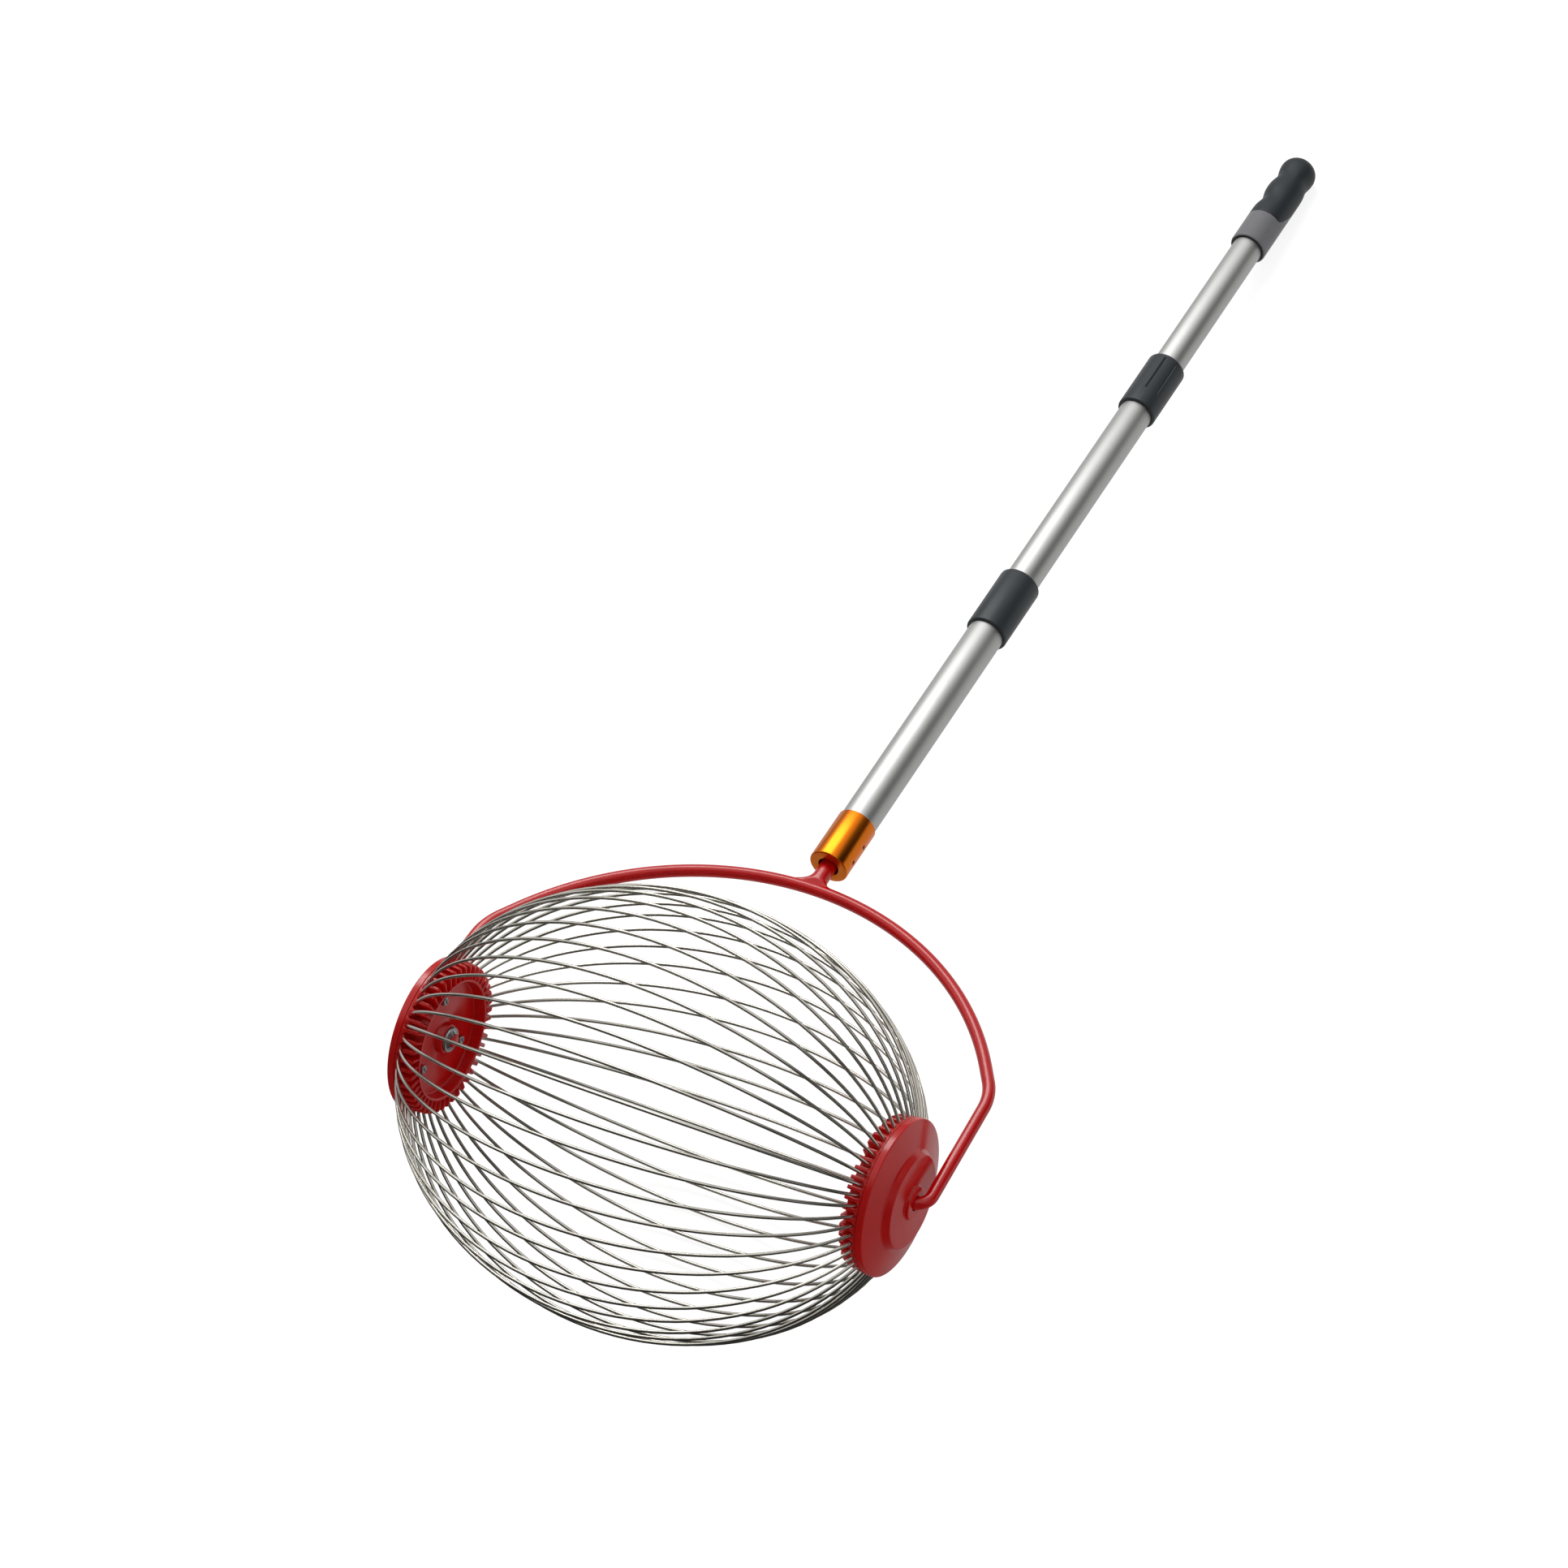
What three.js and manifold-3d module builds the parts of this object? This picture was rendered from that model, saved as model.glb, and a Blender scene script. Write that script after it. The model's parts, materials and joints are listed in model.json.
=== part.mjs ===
// Rolling tennis ball collector, in millimetres, with +Z up.
// A cage of bowed spring wires turns between two hubs on the inturned ends of a bent rod yoke.
// The yoke's stub is clamped in a ferrule on a telescopic pole with two twist locks and a grip.
// The collector lies as it is left on the floor: the cage's belly and the grip's butt touch it.
// The origin is on the floor, under the middle of the collector. X runs along the cage's axle.

import * as THREE from "three";
import { mergeVertices } from "three/addons/utils/BufferGeometryUtils.js";
import Module from "manifold-3d";

const wasm = await Module();
wasm.setup();

// Clearances
const fitGap = 0.3; // between pieces that seat on each other
const cutOverrun = 1; // how far a cutter runs past what it cuts

// Facets
const hubSides = 24;
const poleSides = 16;
const smallSides = 8;
const rodSides = 8;

// Cage wires
const wireCount = 48;
const wireDiameter = 2;
const wireSides = 5;
const wireArcSteps = 10;
const hairpinBendSteps = 3;
const bellyRadius = 128; // of the wires' centre lines, where the cage is widest
const wireArcReach = 158.7; // half length of the ellipse that each wire follows
const wireSeatRadius = 40.4; // where a wire's arc ends inside its hub
const wireTailLength = 2; // of a free end, past the arc

// Hub crown, the toothed half that holds the wires
const slotSideGap = 0.5; // between a wire and each side of its slot
const channelGap = 0.4; // between a wire's bend and each side of its channel
const slotFloorRadius = 37.8;
const crownInnerRadius = 35.4;
const crownDepth = 10;
const toothTipRadius = 46.4; // at the rim
const toothTaper = 2.8; // how much lower the tips are on the cage side
const crownFloorThickness = 2.4;
const hubBossWall = 2.6;
const hubBossInset = 5; // how far the boss stands into the cup from the floor

// Hub cover, the domed outer half
const rimRadius = 46.7;
const rimLipThickness = 1.7;
const rimEdgeHeight = 4.4; // from the lip's edge to the start of the rounding
const rimRounding = 1;
const coverWall = 2.2;
const domeRise = 4;
const bossFootRadius = 30;
const bossFaceRadius = 27.6;
const bossRise = 4;
const eyeRadius = 10;
const eyeRise = 2;
const eyeBoreGap = 0.6; // between the rod and the cover
const locatingRingWall = 2;

// Hub screws
const hubScrewCount = 3;
const hubScrewCircleRadius = 24;
const hubScrewShankRadius = 1.3;
const hubScrewHeadRadius = 2.8;
const hubScrewHeadHeight = 1.6;
const hubScrewTipInset = 1.5; // between a screw's tip and the end of its hole
const hubScrewBossWall = 1.6;

// Axle bush and push-on retainer
const bushWall = 1.9;
const bushProud = 0.8; // past the hub boss, on the cage side
const retainerRadius = 7.6;
const retainerThickness = 2.2;
const retainerLegRise = 1.2; // dished centre that grips the rod
const axleTipProud = 1.4; // of the rod past the retainer

// Yoke
const yokeRodDiameter = 7.6;
const archTopHeight = 185; // of the rod's centre line above the axle
const archRadius = 190;
const archSteps = 22;
const shoulderInset = 3.1; // of the shoulder from the foot, towards the middle
const shoulderLead = 12; // of the arch's end from the shoulder, towards the middle
const shoulderBendRadius = 24;
const shoulderSteps = 3;
const footLead = 0.3; // straight rod between a hub's eye and the foot's bend
const footBendRadius = 6.2;
const footSteps = 5;

// Stub, ferrule and clamp screws
const stubDiameter = 10.4;
const stubFootRadius = 7;
const stubFootHeight = 6;
const stubReach = 19; // from the arch's centre line to the ferrule
const stubInFerrule = 24;
const ferruleLength = 36.5;
const ferruleWall = 0.7;
const ferruleEndThickness = 3;
const ferruleMouthRadius = 6.3;
const ferruleChamfer = 0.6;
const plugLength = 25;
const clampScrewRadius = 1.5;
const clampScrewHeights = [8.7, 21.7]; // above the ferrule's lower end

// Pole sections, named from the cage up
const lowerTubeDiameter = 22.8;
const tubeWall = 0.5;
const lowerTubeMouth = 242; // heights along the pole are from the ferrule's lower end
const middleTubeMouth = 449;
const upperTubeEnd = 655;
const middleOverlap = 48; // of the middle tube inside the lower one
const upperOverlap = 46;
const glideFlange = 2.4;
const glideShank = 12;
const glideBoreRadius = 6;

// Twist locks
const lowerLockStart = 206;
const lowerLockLength = 46;
const lowerLockDiameter = 26.8;
const upperLockStart = 415;
const upperLockLength = 44.5;
const upperLockDiameter = 25.4;
const lockLipThickness = 2;
const lockRounding = 1.2;
const colletWall = 0.7;
const colletSlitWidth = 1.2;
const lockGrooveWidth = 0.8;
const lockGrooveDepth = 0.5;
const lockGrooveStart = 12.5; // from the collar's lower end
const lockGrooveLength = 29;
const lockGrooveAngles = [44.5, 82, 224.5, 262]; // degrees from +X towards +Z

// Grip
const gripStart = 580;
const gripRingLength = 25;
const gripEnd = 667;
const gripDiameter = 24.2;
const gripButtRounding = 10;
const gripButtFlatRadius = 4.5;
const fingerDents = 2;
const fingerDentPitch = 23;
const fingerDentDepth = 1.6;
const fingerDentFirst = 18; // from the rubber's lower end to the first dent
const fingerSideAngle = 154; // degrees from +X towards +Z
const gripRings = 12;
const endPlugFlange = 2;
const endPlugShank = 14;

// Values worked out from the sizes above
const degree = Math.PI / 180;
const wireRadius = wireDiameter / 2;
const wirePitch = (2 * Math.PI) / wireCount;
const wireSeatTurn = Math.asin(wireSeatRadius / bellyRadius);
const wireSeatX = wireArcReach * Math.cos(wireSeatTurn);
const yokeRodRadius = yokeRodDiameter / 2;
const stubRadius = stubDiameter / 2;
const lowerTubeRadius = lowerTubeDiameter / 2;
const tubeStep = tubeWall + fitGap;
const middleTubeRadius = lowerTubeRadius - tubeStep;
const upperTubeRadius = middleTubeRadius - tubeStep;
const ferruleInnerRadius = lowerTubeRadius + fitGap;
const plugRadius = lowerTubeRadius - tubeStep;
const poleStart = archTopHeight + stubReach;
const gripRadius = gripDiameter / 2;
const gripBoreRadius = upperTubeRadius + fitGap;

// Materials
const finish = (color, roughness, metalness) =>
  new THREE.MeshStandardMaterial({ color, roughness, metalness });
const springSteel = finish(0x8c8b84, 0.3, 1);
const redPlastic = finish(0xb3141f, 0.35, 0);
const redEnamel = finish(0xb01420, 0.25, 0.1);
const orangeAnodised = finish(0xd97a14, 0.25, 1);
const satinAluminium = finish(0xc4c4c2, 0.35, 1);
const blackPlastic = finish(0x2b2f33, 0.5, 0);
const greyPlastic = finish(0x6f7073, 0.5, 0);
const blackRubber = finish(0x23272b, 0.7, 0);
const paleNylon = finish(0xd8d6cc, 0.5, 0);
const zincSteel = finish(0x9a9a98, 0.35, 1);

// A three.js geometry as a manifold-3d solid, for cuts and joins.
function solidOf(geometry) {
  const bare = new THREE.BufferGeometry();
  const loose = geometry.index ? geometry.toNonIndexed() : geometry;
  bare.setAttribute("position", loose.getAttribute("position").clone());
  const merged = mergeVertices(bare);
  return new wasm.Manifold(
    new wasm.Mesh({
      numProp: 3,
      vertProperties: merged.getAttribute("position").array,
      triVerts: new Uint32Array(merged.index.array),
    }),
  );
}

// A manifold-3d solid as a three.js geometry.
function geometryOf(solid) {
  const mesh = solid.getMesh();
  const geometry = new THREE.BufferGeometry();
  geometry.setAttribute(
    "position",
    new THREE.BufferAttribute(new Float32Array(mesh.vertProperties), mesh.numProp),
  );
  geometry.setIndex(new THREE.BufferAttribute(new Uint32Array(mesh.triVerts), 1));
  geometry.computeVertexNormals();
  return geometry;
}

function joined(first, ...others) {
  return geometryOf(others.reduce((all, g) => all.add(solidOf(g)), solidOf(first)));
}

function cut(body, ...cutters) {
  return geometryOf(cutters.reduce((left, g) => left.subtract(solidOf(g)), solidOf(body)));
}

function piece(name, geometry, material) {
  const mesh = new THREE.Mesh(geometry, material);
  mesh.name = name;
  return mesh;
}

// A body turned about +Y from [radius, height] points. A profile off the axis closes on itself.
function turned(profile, sides) {
  const closed = profile.some(([radius]) => radius === 0) ? profile : [...profile, profile[0]];
  let area = 0;
  closed.forEach(([radius, height], i) => {
    const [nextRadius, nextHeight] = closed[(i + 1) % closed.length];
    area += radius * nextHeight - nextRadius * height;
  });
  const points = closed.map(([radius, height]) => new THREE.Vector2(radius, height));
  return new THREE.LatheGeometry(area > 0 ? points : points.reverse(), sides);
}

function ring(inner, outer, bottom, top, sides) {
  return turned([[inner, bottom], [outer, bottom], [outer, top], [inner, top]], sides);
}

function disc(radius, bottom, top, sides) {
  return turned([[0, bottom], [radius, bottom], [radius, top], [0, top]], sides);
}

// The same body about +X instead of +Y.
const aboutAxle = (geometry) => geometry.rotateZ(-Math.PI / 2);

// A route given as points, so that an extrusion has one ring at each of them.
class Route extends THREE.Curve {
  constructor(points) {
    super();
    this.points = points;
  }
  index(t) {
    return Math.round(t * (this.points.length - 1));
  }
  getPoint(t, target = new THREE.Vector3()) {
    return target.copy(this.points[this.index(t)]);
  }
  getPointAt(t, target) {
    return this.getPoint(t, target);
  }
  getTangent(t, target = new THREE.Vector3()) {
    const i = this.index(t);
    const before = this.points[Math.max(i - 1, 0)];
    const here = this.points[i];
    const after = this.points[Math.min(i + 1, this.points.length - 1)];
    target.copy(here).sub(before).normalize();
    return target.add(after.clone().sub(here).normalize()).normalize();
  }
  getTangentAt(t, target) {
    return this.getTangent(t, target);
  }
}

function rodAlong(points, radius, sides) {
  const section = new THREE.Shape();
  for (let i = 0; i < sides; i++) {
    const turn = (2 * Math.PI * i) / sides;
    const at = [radius * Math.cos(turn), radius * Math.sin(turn)];
    if (i === 0) section.moveTo(...at);
    else section.lineTo(...at);
  }
  return new THREE.ExtrudeGeometry(section, {
    steps: points.length - 1,
    bevelEnabled: false,
    extrudePath: new Route(points),
  });
}

// A point of the cage: x along the axle, radius and turn about it.
const cagePoint = (x, radius, turn) =>
  new THREE.Vector3(x, radius * Math.cos(turn), radius * Math.sin(turn));

// One wire's arc, from its seat at -X to its seat at +X, on a half ellipse.
function wireArc(turn) {
  const points = [];
  for (let i = 0; i <= wireArcSteps; i++) {
    const along = wireSeatTurn + ((Math.PI - 2 * wireSeatTurn) * i) / wireArcSteps;
    points.push(cagePoint(-wireArcReach * Math.cos(along), bellyRadius * Math.sin(along), turn));
  }
  return points;
}

// Two neighbouring wires are one spring, bent round inside the hub on the given side.
function hairpin(index) {
  const bendSide = index % 2 ? -1 : 1;
  const turns = [(2 * index + 0.5) * wirePitch, (2 * index + 1.5) * wirePitch];
  const [first, second] = turns.map((turn) => {
    const arc = wireArc(turn);
    return bendSide > 0 ? arc : arc.reverse();
  });
  const tails = turns.map((turn) =>
    cagePoint(-bendSide * wireSeatX, wireSeatRadius - wireTailLength, turn),
  );
  const start = first.at(-1);
  const centre = start.clone().add(second.at(-1)).divideScalar(2);
  const across = start.clone().sub(centre);
  const inward = cagePoint(0, -across.length(), (turns[0] + turns[1]) / 2);
  const bend = [];
  for (let i = 1; i < hairpinBendSteps; i++) {
    const turn = (Math.PI * i) / hairpinBendSteps;
    const point = centre.clone().addScaledVector(across, Math.cos(turn));
    bend.push(point.addScaledVector(inward, Math.sin(turn)));
  }
  const route = [tails[0], ...first, ...bend, ...second.reverse(), tails[1]];
  return rodAlong(route, wireRadius, wireSides);
}

// Axial places in a hub, measured along +X from the middle of the cage.
const crownTop = wireSeatX - wireRadius - channelGap;
const crownBottom = crownTop - crownDepth;
const coverFloor = wireSeatX + wireRadius + channelGap;
const lipEdge = crownTop + fitGap;
const rimTop = lipEdge + rimEdgeHeight + rimRounding;
const bossFoot = rimTop + domeRise;
const bossFace = bossFoot + bossRise;
const eyeFace = bossFace + eyeRise;
const bossInside = bossFace - coverWall;
const bushRadius = yokeRodRadius + fitGap + bushWall;
const hubBossBore = bushRadius + fitGap;
const hubBossRadius = hubBossBore + hubBossWall;
const hubBossBottom = crownTop - crownFloorThickness - hubBossInset;
const hubBossTop = bossInside - fitGap;
const bushBottom = hubBossBottom - bushProud;
const retainerTop = bushBottom - fitGap;
const axleTip = retainerTop - retainerThickness - axleTipProud;
const wireSpread = wireSeatRadius * Math.sin(wirePitch / 2);
const locatingRingRadius = wireSeatRadius - wireSpread - wireRadius - channelGap;
const screwBossRadius = hubScrewShankRadius + fitGap + hubScrewBossWall;
const screwHoleRadius = hubScrewShankRadius + fitGap;

// The toothed ring: teeth between the wire slots, with tips that taper towards the cage.
function toothedRing() {
  const halfSlot = wireRadius + slotSideGap;
  const outlineAt = (tipRadius) => {
    const points = [];
    for (let i = 0; i < wireCount; i++) {
      const slotTurn = (i + 0.5) * wirePitch;
      const corner = (radius, side) => {
        const turn = slotTurn + side * Math.asin(halfSlot / radius);
        return new THREE.Vector2(radius * Math.cos(turn), radius * Math.sin(turn));
      };
      points.push(corner(tipRadius, -1), corner(slotFloorRadius, -1));
      points.push(corner(slotFloorRadius, 1), corner(tipRadius, 1));
    }
    return points;
  };
  const cageSide = outlineAt(toothTipRadius - toothTaper);
  const rimSide = outlineAt(toothTipRadius);
  const positions = [];
  const corner = (point, x) => positions.push(x, point.x, point.y);
  cageSide.forEach((point, i) => {
    const next = (i + 1) % cageSide.length;
    corner(point, crownBottom);
    corner(cageSide[next], crownBottom);
    corner(rimSide[next], crownTop);
    corner(point, crownBottom);
    corner(rimSide[next], crownTop);
    corner(rimSide[i], crownTop);
  });
  for (const [a, b, c] of THREE.ShapeUtils.triangulateShape(rimSide, [])) {
    [a, b, c].forEach((i) => corner(rimSide[i], crownTop));
    [c, b, a].forEach((i) => corner(cageSide[i], crownBottom));
  }
  const geometry = new THREE.BufferGeometry();
  geometry.setAttribute("position", new THREE.Float32BufferAttribute(positions, 3));
  return geometry;
}

// Screws stand on a circle round the axle; each gets the same hole and boss.
function onScrewCircle(make) {
  const places = [];
  for (let i = 0; i < hubScrewCount; i++) {
    const turn = (2 * Math.PI * i) / hubScrewCount;
    const shape = aboutAxle(make());
    shape.translate(0, hubScrewCircleRadius * Math.cos(turn), hubScrewCircleRadius * Math.sin(turn));
    places.push(shape);
  }
  return places;
}

function hubCrown() {
  const floorBottom = crownTop - crownFloorThickness;
  const cup = disc(crownInnerRadius, crownBottom - cutOverrun, floorBottom, hubSides);
  const shell = cut(toothedRing(), aboutAxle(cup));
  const boss = aboutAxle(disc(hubBossRadius, hubBossBottom, hubBossTop, hubSides));
  const bore = disc(hubBossBore, hubBossBottom - cutOverrun, hubBossTop + cutOverrun, hubSides);
  const holes = onScrewCircle(() =>
    disc(screwHoleRadius, floorBottom - cutOverrun, crownTop + cutOverrun, smallSides),
  );
  return cut(joined(shell, boss), aboutAxle(bore), ...holes);
}

function hubCover() {
  const innerRim = rimRadius - rimLipThickness;
  const eyeBore = yokeRodRadius + eyeBoreGap;
  const shell = turned(
    [
      [innerRim, lipEdge],
      [rimRadius, lipEdge],
      [rimRadius, lipEdge + rimEdgeHeight],
      [rimRadius - rimRounding, rimTop],
      [bossFootRadius, bossFoot],
      [bossFaceRadius, bossFace],
      [eyeRadius, bossFace],
      [eyeRadius - rimRounding, eyeFace],
      [eyeBore, eyeFace],
      [eyeBore, bossInside],
      [bossFaceRadius - coverWall, bossInside],
      [bossFootRadius - coverWall, bossFoot - coverWall],
      [innerRim - coverWall, coverFloor + rimRounding],
      [innerRim, coverFloor],
    ],
    hubSides,
  );
  const ringInner = locatingRingRadius - locatingRingWall;
  const locatingRing = ring(ringInner, locatingRingRadius, crownTop + fitGap, bossFoot - coverWall, hubSides);
  const bosses = onScrewCircle(() =>
    disc(screwBossRadius, crownTop + fitGap, bossInside + fitGap, smallSides),
  );
  const holes = onScrewCircle(() =>
    disc(screwHoleRadius, crownTop - cutOverrun, bossInside - hubScrewTipInset, smallSides),
  );
  return cut(joined(aboutAxle(shell), aboutAxle(locatingRing), ...bosses), ...holes);
}

function hubScrew() {
  const headTop = crownTop - crownFloorThickness - fitGap;
  return turned(
    [
      [0, headTop - hubScrewHeadHeight],
      [hubScrewHeadRadius, headTop - hubScrewHeadHeight],
      [hubScrewHeadRadius, headTop],
      [hubScrewShankRadius, headTop],
      [hubScrewShankRadius, bossInside - hubScrewTipInset - fitGap],
      [0, bossInside - hubScrewTipInset - fitGap],
    ],
    smallSides,
  );
}

function retainer() {
  const bottom = retainerTop - retainerThickness;
  const bore = yokeRodRadius + fitGap;
  return turned(
    [
      [bore, bottom],
      [bore + bushWall, bottom],
      [retainerRadius, bottom + retainerLegRise],
      [retainerRadius, retainerTop],
      [bore, retainerTop],
    ],
    hubSides,
  );
}

// Both hubs are the same; the left one is turned half round about +Z.
function hub(side) {
  const group = new THREE.Group();
  group.add(piece(`${side}_hub_crown`, hubCrown(), redPlastic));
  group.add(piece(`${side}_hub_cover`, hubCover(), redPlastic));
  const bush = ring(yokeRodRadius + fitGap, bushRadius, bushBottom, hubBossTop, hubSides);
  group.add(piece(`${side}_axle_bush`, aboutAxle(bush), paleNylon));
  onScrewCircle(hubScrew).forEach((screw, i) =>
    group.add(piece(`${side}_hub_screw_${i + 1}`, screw, zincSteel)),
  );
  if (side === "left") group.rotation.z = Math.PI;
  return group;
}

function cage() {
  const group = new THREE.Group();
  for (let i = 0; i < wireCount / 2; i++) {
    const name = `cage_wire_pair_${String(i + 1).padStart(2, "0")}`;
    group.add(piece(name, hairpin(i), springSteel));
  }
  group.add(hub("right"), hub("left"));
  return group;
}

// Points of the round bend at a corner, in the yoke's plane.
function bendPoints(before, corner, after, radius, steps) {
  const arriving = corner.clone().sub(before).normalize();
  const leaving = after.clone().sub(corner).normalize();
  const bend = Math.acos(THREE.MathUtils.clamp(arriving.dot(leaving), -1, 1));
  const sense = Math.sign(arriving.cross(leaving));
  const start = corner.clone().addScaledVector(arriving, -radius * Math.tan(bend / 2));
  const toCentre = new THREE.Vector2(-arriving.y, arriving.x).multiplyScalar(sense * radius);
  const centre = start.clone().add(toCentre);
  const points = [];
  for (let i = 0; i <= steps; i++) {
    points.push(start.clone().rotateAround(centre, (sense * bend * i) / steps));
  }
  return points;
}

// The yoke's centre line, from the tip inside the right hub to the tip inside the left one.
function yokeRoute() {
  const footReach = eyeFace + footLead + footBendRadius;
  const shoulderReach = footReach - shoulderInset;
  const endTurn = Math.acos((shoulderReach - shoulderLead) / archRadius);
  const archCentre = archTopHeight - archRadius;
  const archEnd = new THREE.Vector2(
    archRadius * Math.cos(endTurn),
    archCentre + archRadius * Math.sin(endTurn),
  );
  const drop = (shoulderReach - archEnd.x) / Math.tan(endTurn);
  const shoulder = new THREE.Vector2(shoulderReach, archEnd.y - drop);
  const foot = new THREE.Vector2(footReach, 0);
  const tip = new THREE.Vector2(axleTip, 0);
  const side = [
    tip,
    ...bendPoints(tip, foot, shoulder, footBendRadius, footSteps),
    ...bendPoints(foot, shoulder, archEnd, shoulderBendRadius, shoulderSteps),
  ];
  const arch = [];
  for (let i = 0; i <= archSteps; i++) {
    const turn = endTurn + ((Math.PI - 2 * endTurn) * i) / archSteps;
    arch.push(
      new THREE.Vector2(archRadius * Math.cos(turn), archCentre + archRadius * Math.sin(turn)),
    );
  }
  const otherSide = side.map((point) => new THREE.Vector2(-point.x, point.y)).reverse();
  return [...side, ...arch, ...otherSide].map((point) => new THREE.Vector3(point.x, point.y, 0));
}

// The stub seats on the rod in a saddle, inside the weld's flared foot.
function yokeStub() {
  const body = turned(
    [
      [0, archTopHeight],
      [stubFootRadius, archTopHeight],
      [stubFootRadius, archTopHeight + yokeRodRadius],
      [stubRadius, archTopHeight + yokeRodRadius + stubFootHeight],
      [stubRadius, poleStart + stubInFerrule],
      [0, poleStart + stubInFerrule],
    ],
    poleSides,
  );
  const halfSaddle = stubFootRadius + cutOverrun;
  const saddle = aboutAxle(disc(yokeRodRadius + fitGap, -halfSaddle, halfSaddle, poleSides));
  return cut(body, saddle.translate(0, archTopHeight, 0));
}

// Holes for the clamp screws, through the ferrule, the tube and the plug on the +X side.
function clampHoles() {
  return clampScrewHeights.map((height) => {
    const outer = ferruleInnerRadius + ferruleWall + cutOverrun;
    const hole = disc(clampScrewRadius + fitGap, stubRadius, outer, smallSides);
    return aboutAxle(hole).translate(0, height, 0);
  });
}

function ferrule() {
  const outer = ferruleInnerRadius + ferruleWall;
  const body = turned(
    [
      [ferruleMouthRadius, 0],
      [outer - ferruleChamfer, 0],
      [outer, ferruleChamfer],
      [outer, ferruleLength - ferruleChamfer],
      [outer - ferruleChamfer, ferruleLength],
      [ferruleInnerRadius, ferruleLength],
      [ferruleInnerRadius, ferruleEndThickness],
      [ferruleMouthRadius, ferruleEndThickness],
    ],
    poleSides,
  );
  return cut(body, ...clampHoles());
}

function clampScrew(height) {
  const outer = ferruleInnerRadius + ferruleWall;
  return aboutAxle(disc(clampScrewRadius, stubRadius + fitGap, outer, smallSides)).translate(0, height, 0);
}

function tube(radius, bottom, top) {
  return ring(radius - tubeWall, radius, bottom, top, poleSides);
}

// The glide at the foot of an inner tube: a flange that runs in the outer tube, and a shank.
function glide(tubeRadius, tubeBottom) {
  const shankRadius = tubeRadius - tubeStep;
  const top = tubeBottom + glideShank;
  const flangeTop = tubeBottom - fitGap;
  return turned(
    [
      [glideBoreRadius, flangeTop - glideFlange],
      [tubeRadius, flangeTop - glideFlange],
      [tubeRadius, flangeTop],
      [shankRadius, flangeTop],
      [shankRadius, top],
      [glideBoreRadius, top],
    ],
    poleSides,
  );
}

// A twist lock's sizes along the pole: its collar covers the outer tube's mouth.
function lockSizes(start, length, diameter, outerRadius, innerRadius, mouth) {
  const sleeveRadius = outerRadius + fitGap + colletWall;
  return { start, end: start + length, radius: diameter / 2, outerRadius, innerRadius, mouth, sleeveRadius };
}

function lockCollar(lock, grooveAngles) {
  const bore = lock.sleeveRadius + fitGap;
  const body = turned(
    [
      [lock.outerRadius + fitGap, lock.start],
      [lock.radius - lockRounding, lock.start],
      [lock.radius, lock.start + lockRounding],
      [lock.radius, lock.end - lockRounding],
      [lock.radius - lockRounding, lock.end],
      [lock.innerRadius + fitGap, lock.end],
      [lock.innerRadius + fitGap, lock.end - lockLipThickness],
      [bore, lock.end - lockLipThickness],
      [bore, lock.start + lockLipThickness],
      [lock.outerRadius + fitGap, lock.start + lockLipThickness],
    ],
    poleSides,
  );
  const grooves = grooveAngles.map((angle) => {
    const box = new THREE.BoxGeometry(2 * lockGrooveDepth, lockGrooveLength, lockGrooveWidth);
    box.translate(lock.radius, lock.start + lockGrooveStart + lockGrooveLength / 2, 0);
    return box.rotateY(-angle * degree);
  });
  return grooves.length ? cut(body, ...grooves) : body;
}

// The collet sits on the outer tube's mouth and its split fingers grip the inner tube.
function collet(lock) {
  const bottom = lock.start + lockLipThickness + fitGap;
  const top = lock.end - lockLipThickness - fitGap;
  const seat = lock.mouth + fitGap;
  const body = turned(
    [
      [lock.outerRadius + fitGap, bottom],
      [lock.sleeveRadius, bottom],
      [lock.sleeveRadius, top],
      [lock.innerRadius + fitGap, top],
      [lock.innerRadius + fitGap, seat],
      [lock.outerRadius + fitGap, seat],
    ],
    poleSides,
  );
  const slitHeight = top - seat + cutOverrun;
  const slitSpan = 2 * (lock.sleeveRadius + cutOverrun);
  const slits = [0, Math.PI / 2].map((turn) => {
    const box = new THREE.BoxGeometry(slitSpan, slitHeight, colletSlitWidth);
    return box.rotateY(turn).translate(0, seat + slitHeight / 2, 0);
  });
  return cut(body, ...slits);
}

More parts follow.
